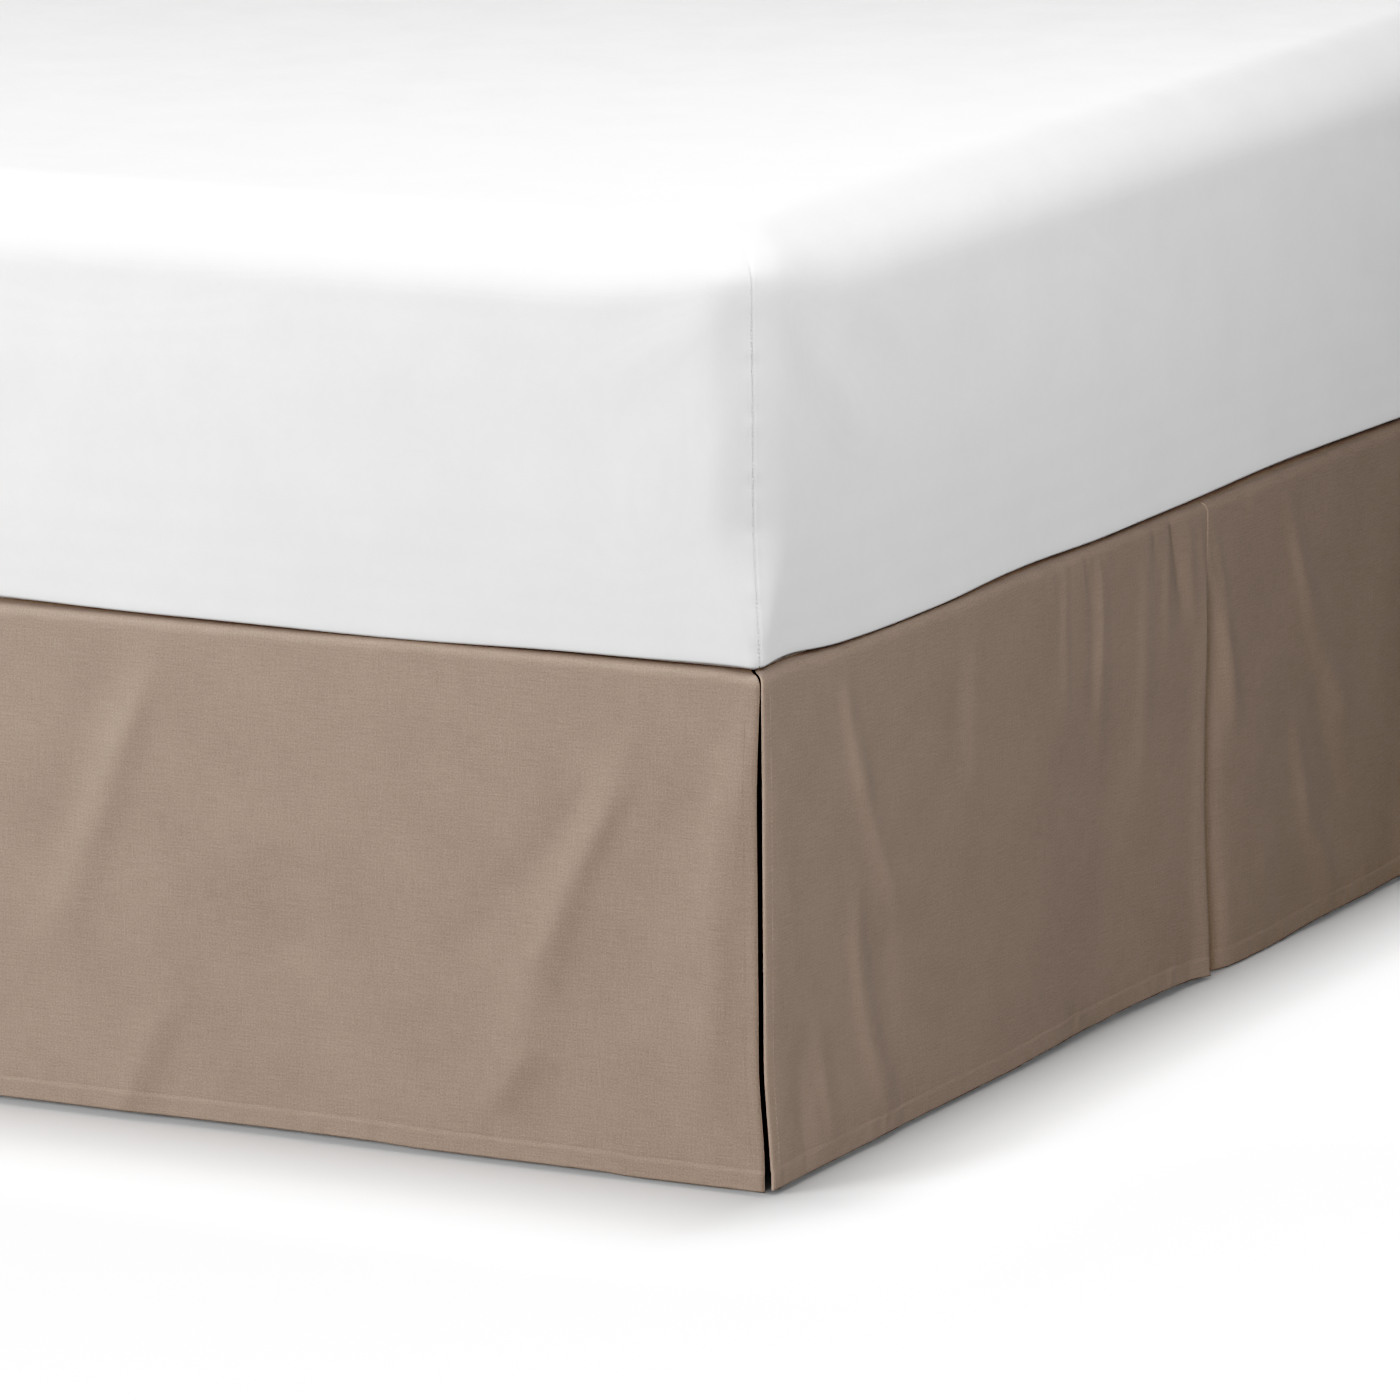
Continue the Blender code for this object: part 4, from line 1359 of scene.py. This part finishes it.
def add_room_light(strength):
    """Even light from above the horizon and none from below, as in a room with a dull floor."""
    world = bpy.data.worlds.new("studio")
    world.use_nodes = True
    tree = world.node_tree
    direction = tree.nodes.new("ShaderNodeTexCoord")
    parts = tree.nodes.new("ShaderNodeSeparateXYZ")
    horizon = tree.nodes.new("ShaderNodeMapRange")
    horizon.inputs["From Min"].default_value = -0.03
    horizon.inputs["From Max"].default_value = 0.05
    horizon.inputs["To Max"].default_value = strength
    tree.links.new(direction.outputs["Generated"], parts.inputs["Vector"])
    tree.links.new(parts.outputs["Z"], horizon.inputs["Value"])
    tree.links.new(horizon.outputs["Result"], tree.nodes["Background"].inputs["Strength"])
    tree.nodes["Background"].inputs["Color"].default_value = (1.0, 1.0, 1.0, 1.0)
    bpy.context.scene.world = world


def set_tones(view):
    """The contrast of the picture: deeper shadows and softer lights."""
    view.view_transform = "Standard"
    view.use_curve_mapping = True
    curve = view.curve_mapping.curves[3]
    for light, shown in TONES:
        curve.points.new(light, shown)
    view.curve_mapping.update()


def add_camera(studio):
    """The camera at the picture's own angle."""
    turn, pitch, roll = studio.azimuth, studio.pitch, studio.roll
    level = math.cos(pitch)
    look = Vector((math.sin(turn) * level, math.cos(turn) * level, -math.sin(pitch)))
    right = Vector((math.cos(turn), -math.sin(turn), 0.0))
    up = right.cross(look)
    rolled_right = math.cos(roll) * right + math.sin(roll) * up
    rolled_up = math.cos(roll) * up - math.sin(roll) * right
    lens = bpy.data.cameras.new("camera")
    lens.sensor_width = 36.0
    lens.lens = studio.lens
    lens.clip_end = 100.0
    camera = bpy.data.objects.new("camera", lens)
    bpy.context.scene.collection.objects.link(camera)
    place = Matrix((rolled_right, rolled_up, -look)).transposed().to_4x4()
    camera.matrix_world = Matrix.Translation(studio.place) @ place
    bpy.context.scene.camera = camera


def add_floor(studio_colors):
    """The studio floor, well past the edges of the picture."""
    sheet = bmesh.new()
    bmesh.ops.create_grid(sheet, x_segments=1, y_segments=1, size=40.0)
    floor = bpy.data.objects.new("studio_floor", mesh_from(sheet, "studio_floor"))
    bpy.context.scene.collection.objects.link(floor)
    floor.data.materials.append(floor_finish("studio_floor", studio_colors.floor))
    floor.visible_diffuse = False


# ---------------------------------------------------------------------------------------------
# Operators
# ---------------------------------------------------------------------------------------------


class BEDSKIRT_OT_drops(bpy.types.Operator):
    """Build the three drops with their folds, pleats, hems and stitches"""

    bl_idname = "bedskirt.drops"
    bl_label = "Skirt Drops"

    def execute(self, context):
        sizes = context.scene.bedskirt_skirt
        colors = context.scene.bedskirt_colors
        cloth = woven_finish("skirt_cloth", colors.skirt, cloth_coordinates, SKIRT_WEAVE)
        thread = thread_finish("skirt_thread", colors.skirt_thread)
        for drop in DROPS:
            mesh, strip, path = drop_mesh(drop, sizes)
            made = link(drop.name, mesh, cloth)
            stitches = link(drop.name + "_stitches", drop_stitches(drop, sizes), thread)
            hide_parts(drop.node)
        return {"FINISHED"}


class BEDSKIRT_OT_deck(bpy.types.Operator):
    """Lay the platform sheet between the mattress and the base"""

    bl_idname = "bedskirt.deck"
    bl_label = "Skirt Deck"

    def execute(self, context):
        sizes = context.scene.bedskirt_skirt
        colors = context.scene.bedskirt_colors
        cloth = woven_finish("deck_cloth", colors.deck, cloth_coordinates, DECK_WEAVE)
        made = link("skirt_deck", deck_mesh(sizes), cloth)
        thread = thread_finish("deck_thread", colors.skirt_thread)
        stitches = link("skirt_deck_stitches", deck_stitches(sizes), thread)
        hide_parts("deck")
        return {"FINISHED"}


class BEDSKIRT_OT_mattress(bpy.types.Operator):
    """Build the mattress in its fitted cover, with its corner seams"""

    bl_idname = "bedskirt.mattress"
    bl_label = "Mattress"

    def execute(self, context):
        sizes = context.scene.bedskirt_mattress
        colors = context.scene.bedskirt_colors
        cloth = woven_finish(
            "mattress_cloth", colors.mattress, object_coordinates, MATTRESS_WEAVE
        )
        thread = thread_finish("mattress_thread", colors.mattress_thread)
        made = link("mattress_cover", mattress_mesh(sizes, context.scene.bedskirt_skirt), cloth)
        stitches = link("mattress_stitches", mattress_stitches(sizes), thread)
        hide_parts("mattress")
        return {"FINISHED"}


class BEDSKIRT_OT_base(bpy.types.Operator):
    """Build the base in its plain cover, with its piping"""

    bl_idname = "bedskirt.base"
    bl_label = "Base"

    def execute(self, context):
        colors = context.scene.bedskirt_colors
        cloth = woven_finish("base_cloth", colors.base, object_coordinates, BASE_WEAVE)
        made = link("base_cover", base_mesh(context.scene.bedskirt_base), cloth)
        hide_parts("box_base")
        return {"FINISHED"}


class BEDSKIRT_OT_legs(bpy.types.Operator):
    """Build the six turned legs under the base"""

    bl_idname = "bedskirt.legs"
    bl_label = "Legs"

    def execute(self, context):
        wood = wood_finish("leg_wood", context.scene.bedskirt_colors.leg)
        for node in sorted(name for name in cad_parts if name.startswith("leg_")):
            made = link("bed_" + node, leg_mesh(node, context.scene.bedskirt_base), wood)
            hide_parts(node)
        return {"FINISHED"}


class BEDSKIRT_OT_stage(bpy.types.Operator):
    """Set up the floor, the soft lights and the camera, once the bed is built"""

    bl_idname = "bedskirt.stage"
    bl_label = "Studio"

    def execute(self, context):
        studio = context.scene.bedskirt_studio
        add_floor(context.scene.bedskirt_colors)
        for name, place, target, size, reach in LIGHTS:
            light = add_area_light(name, place, target, size, getattr(studio, name + "_power"))
            light_reaches(light, reach)
        add_room_light(studio.room)
        set_tones(context.scene.view_settings)
        add_camera(studio)
        return {"FINISHED"}


class BEDSKIRT_PT_panel(bpy.types.Panel):
    """The bed skirt's sizes, colours and operators"""

    bl_idname = "BEDSKIRT_PT_panel"
    bl_label = "Bed Skirt"
    bl_space_type = "VIEW_3D"
    bl_region_type = "UI"
    bl_category = "Bed Skirt"

    def draw(self, context):
        layout = self.layout
        for operator in OPERATORS:
            layout.operator(operator.bl_idname)
        for group, name in GROUPS:
            box = layout.box()
            box.label(text=group.__doc__)
            settings = getattr(context.scene, name)
            for field in group.__annotations__:
                box.prop(settings, field)


OPERATORS = (
    BEDSKIRT_OT_drops,
    BEDSKIRT_OT_deck,
    BEDSKIRT_OT_mattress,
    BEDSKIRT_OT_base,
    BEDSKIRT_OT_legs,
    BEDSKIRT_OT_stage,
)
GROUPS = (
    (SkirtSizes, "bedskirt_skirt"),
    (MattressSizes, "bedskirt_mattress"),
    (BaseSizes, "bedskirt_base"),
    (BedColors, "bedskirt_colors"),
    (StudioSettings, "bedskirt_studio"),
)


def register():
    """Register the classes and hang the settings on the scene."""
    for group, name in GROUPS:
        bpy.utils.register_class(group)
        setattr(bpy.types.Scene, name, PointerProperty(type=group))
    for operator in OPERATORS:
        bpy.utils.register_class(operator)
    bpy.utils.register_class(BEDSKIRT_PT_panel)


def unregister():
    """Take the settings and the classes away again."""
    bpy.utils.unregister_class(BEDSKIRT_PT_panel)
    for operator in reversed(OPERATORS):
        bpy.utils.unregister_class(operator)
    for group, name in reversed(GROUPS):
        delattr(bpy.types.Scene, name)
        bpy.utils.unregister_class(group)


def main():
    """Build every piece and the studio."""
    register()
    bpy.ops.bedskirt.drops()
    bpy.ops.bedskirt.deck()
    bpy.ops.bedskirt.mattress()
    bpy.ops.bedskirt.base()
    bpy.ops.bedskirt.legs()
    bpy.ops.bedskirt.stage()
    bpy.context.view_layer.update()


if __name__ == "__main__":
    main()
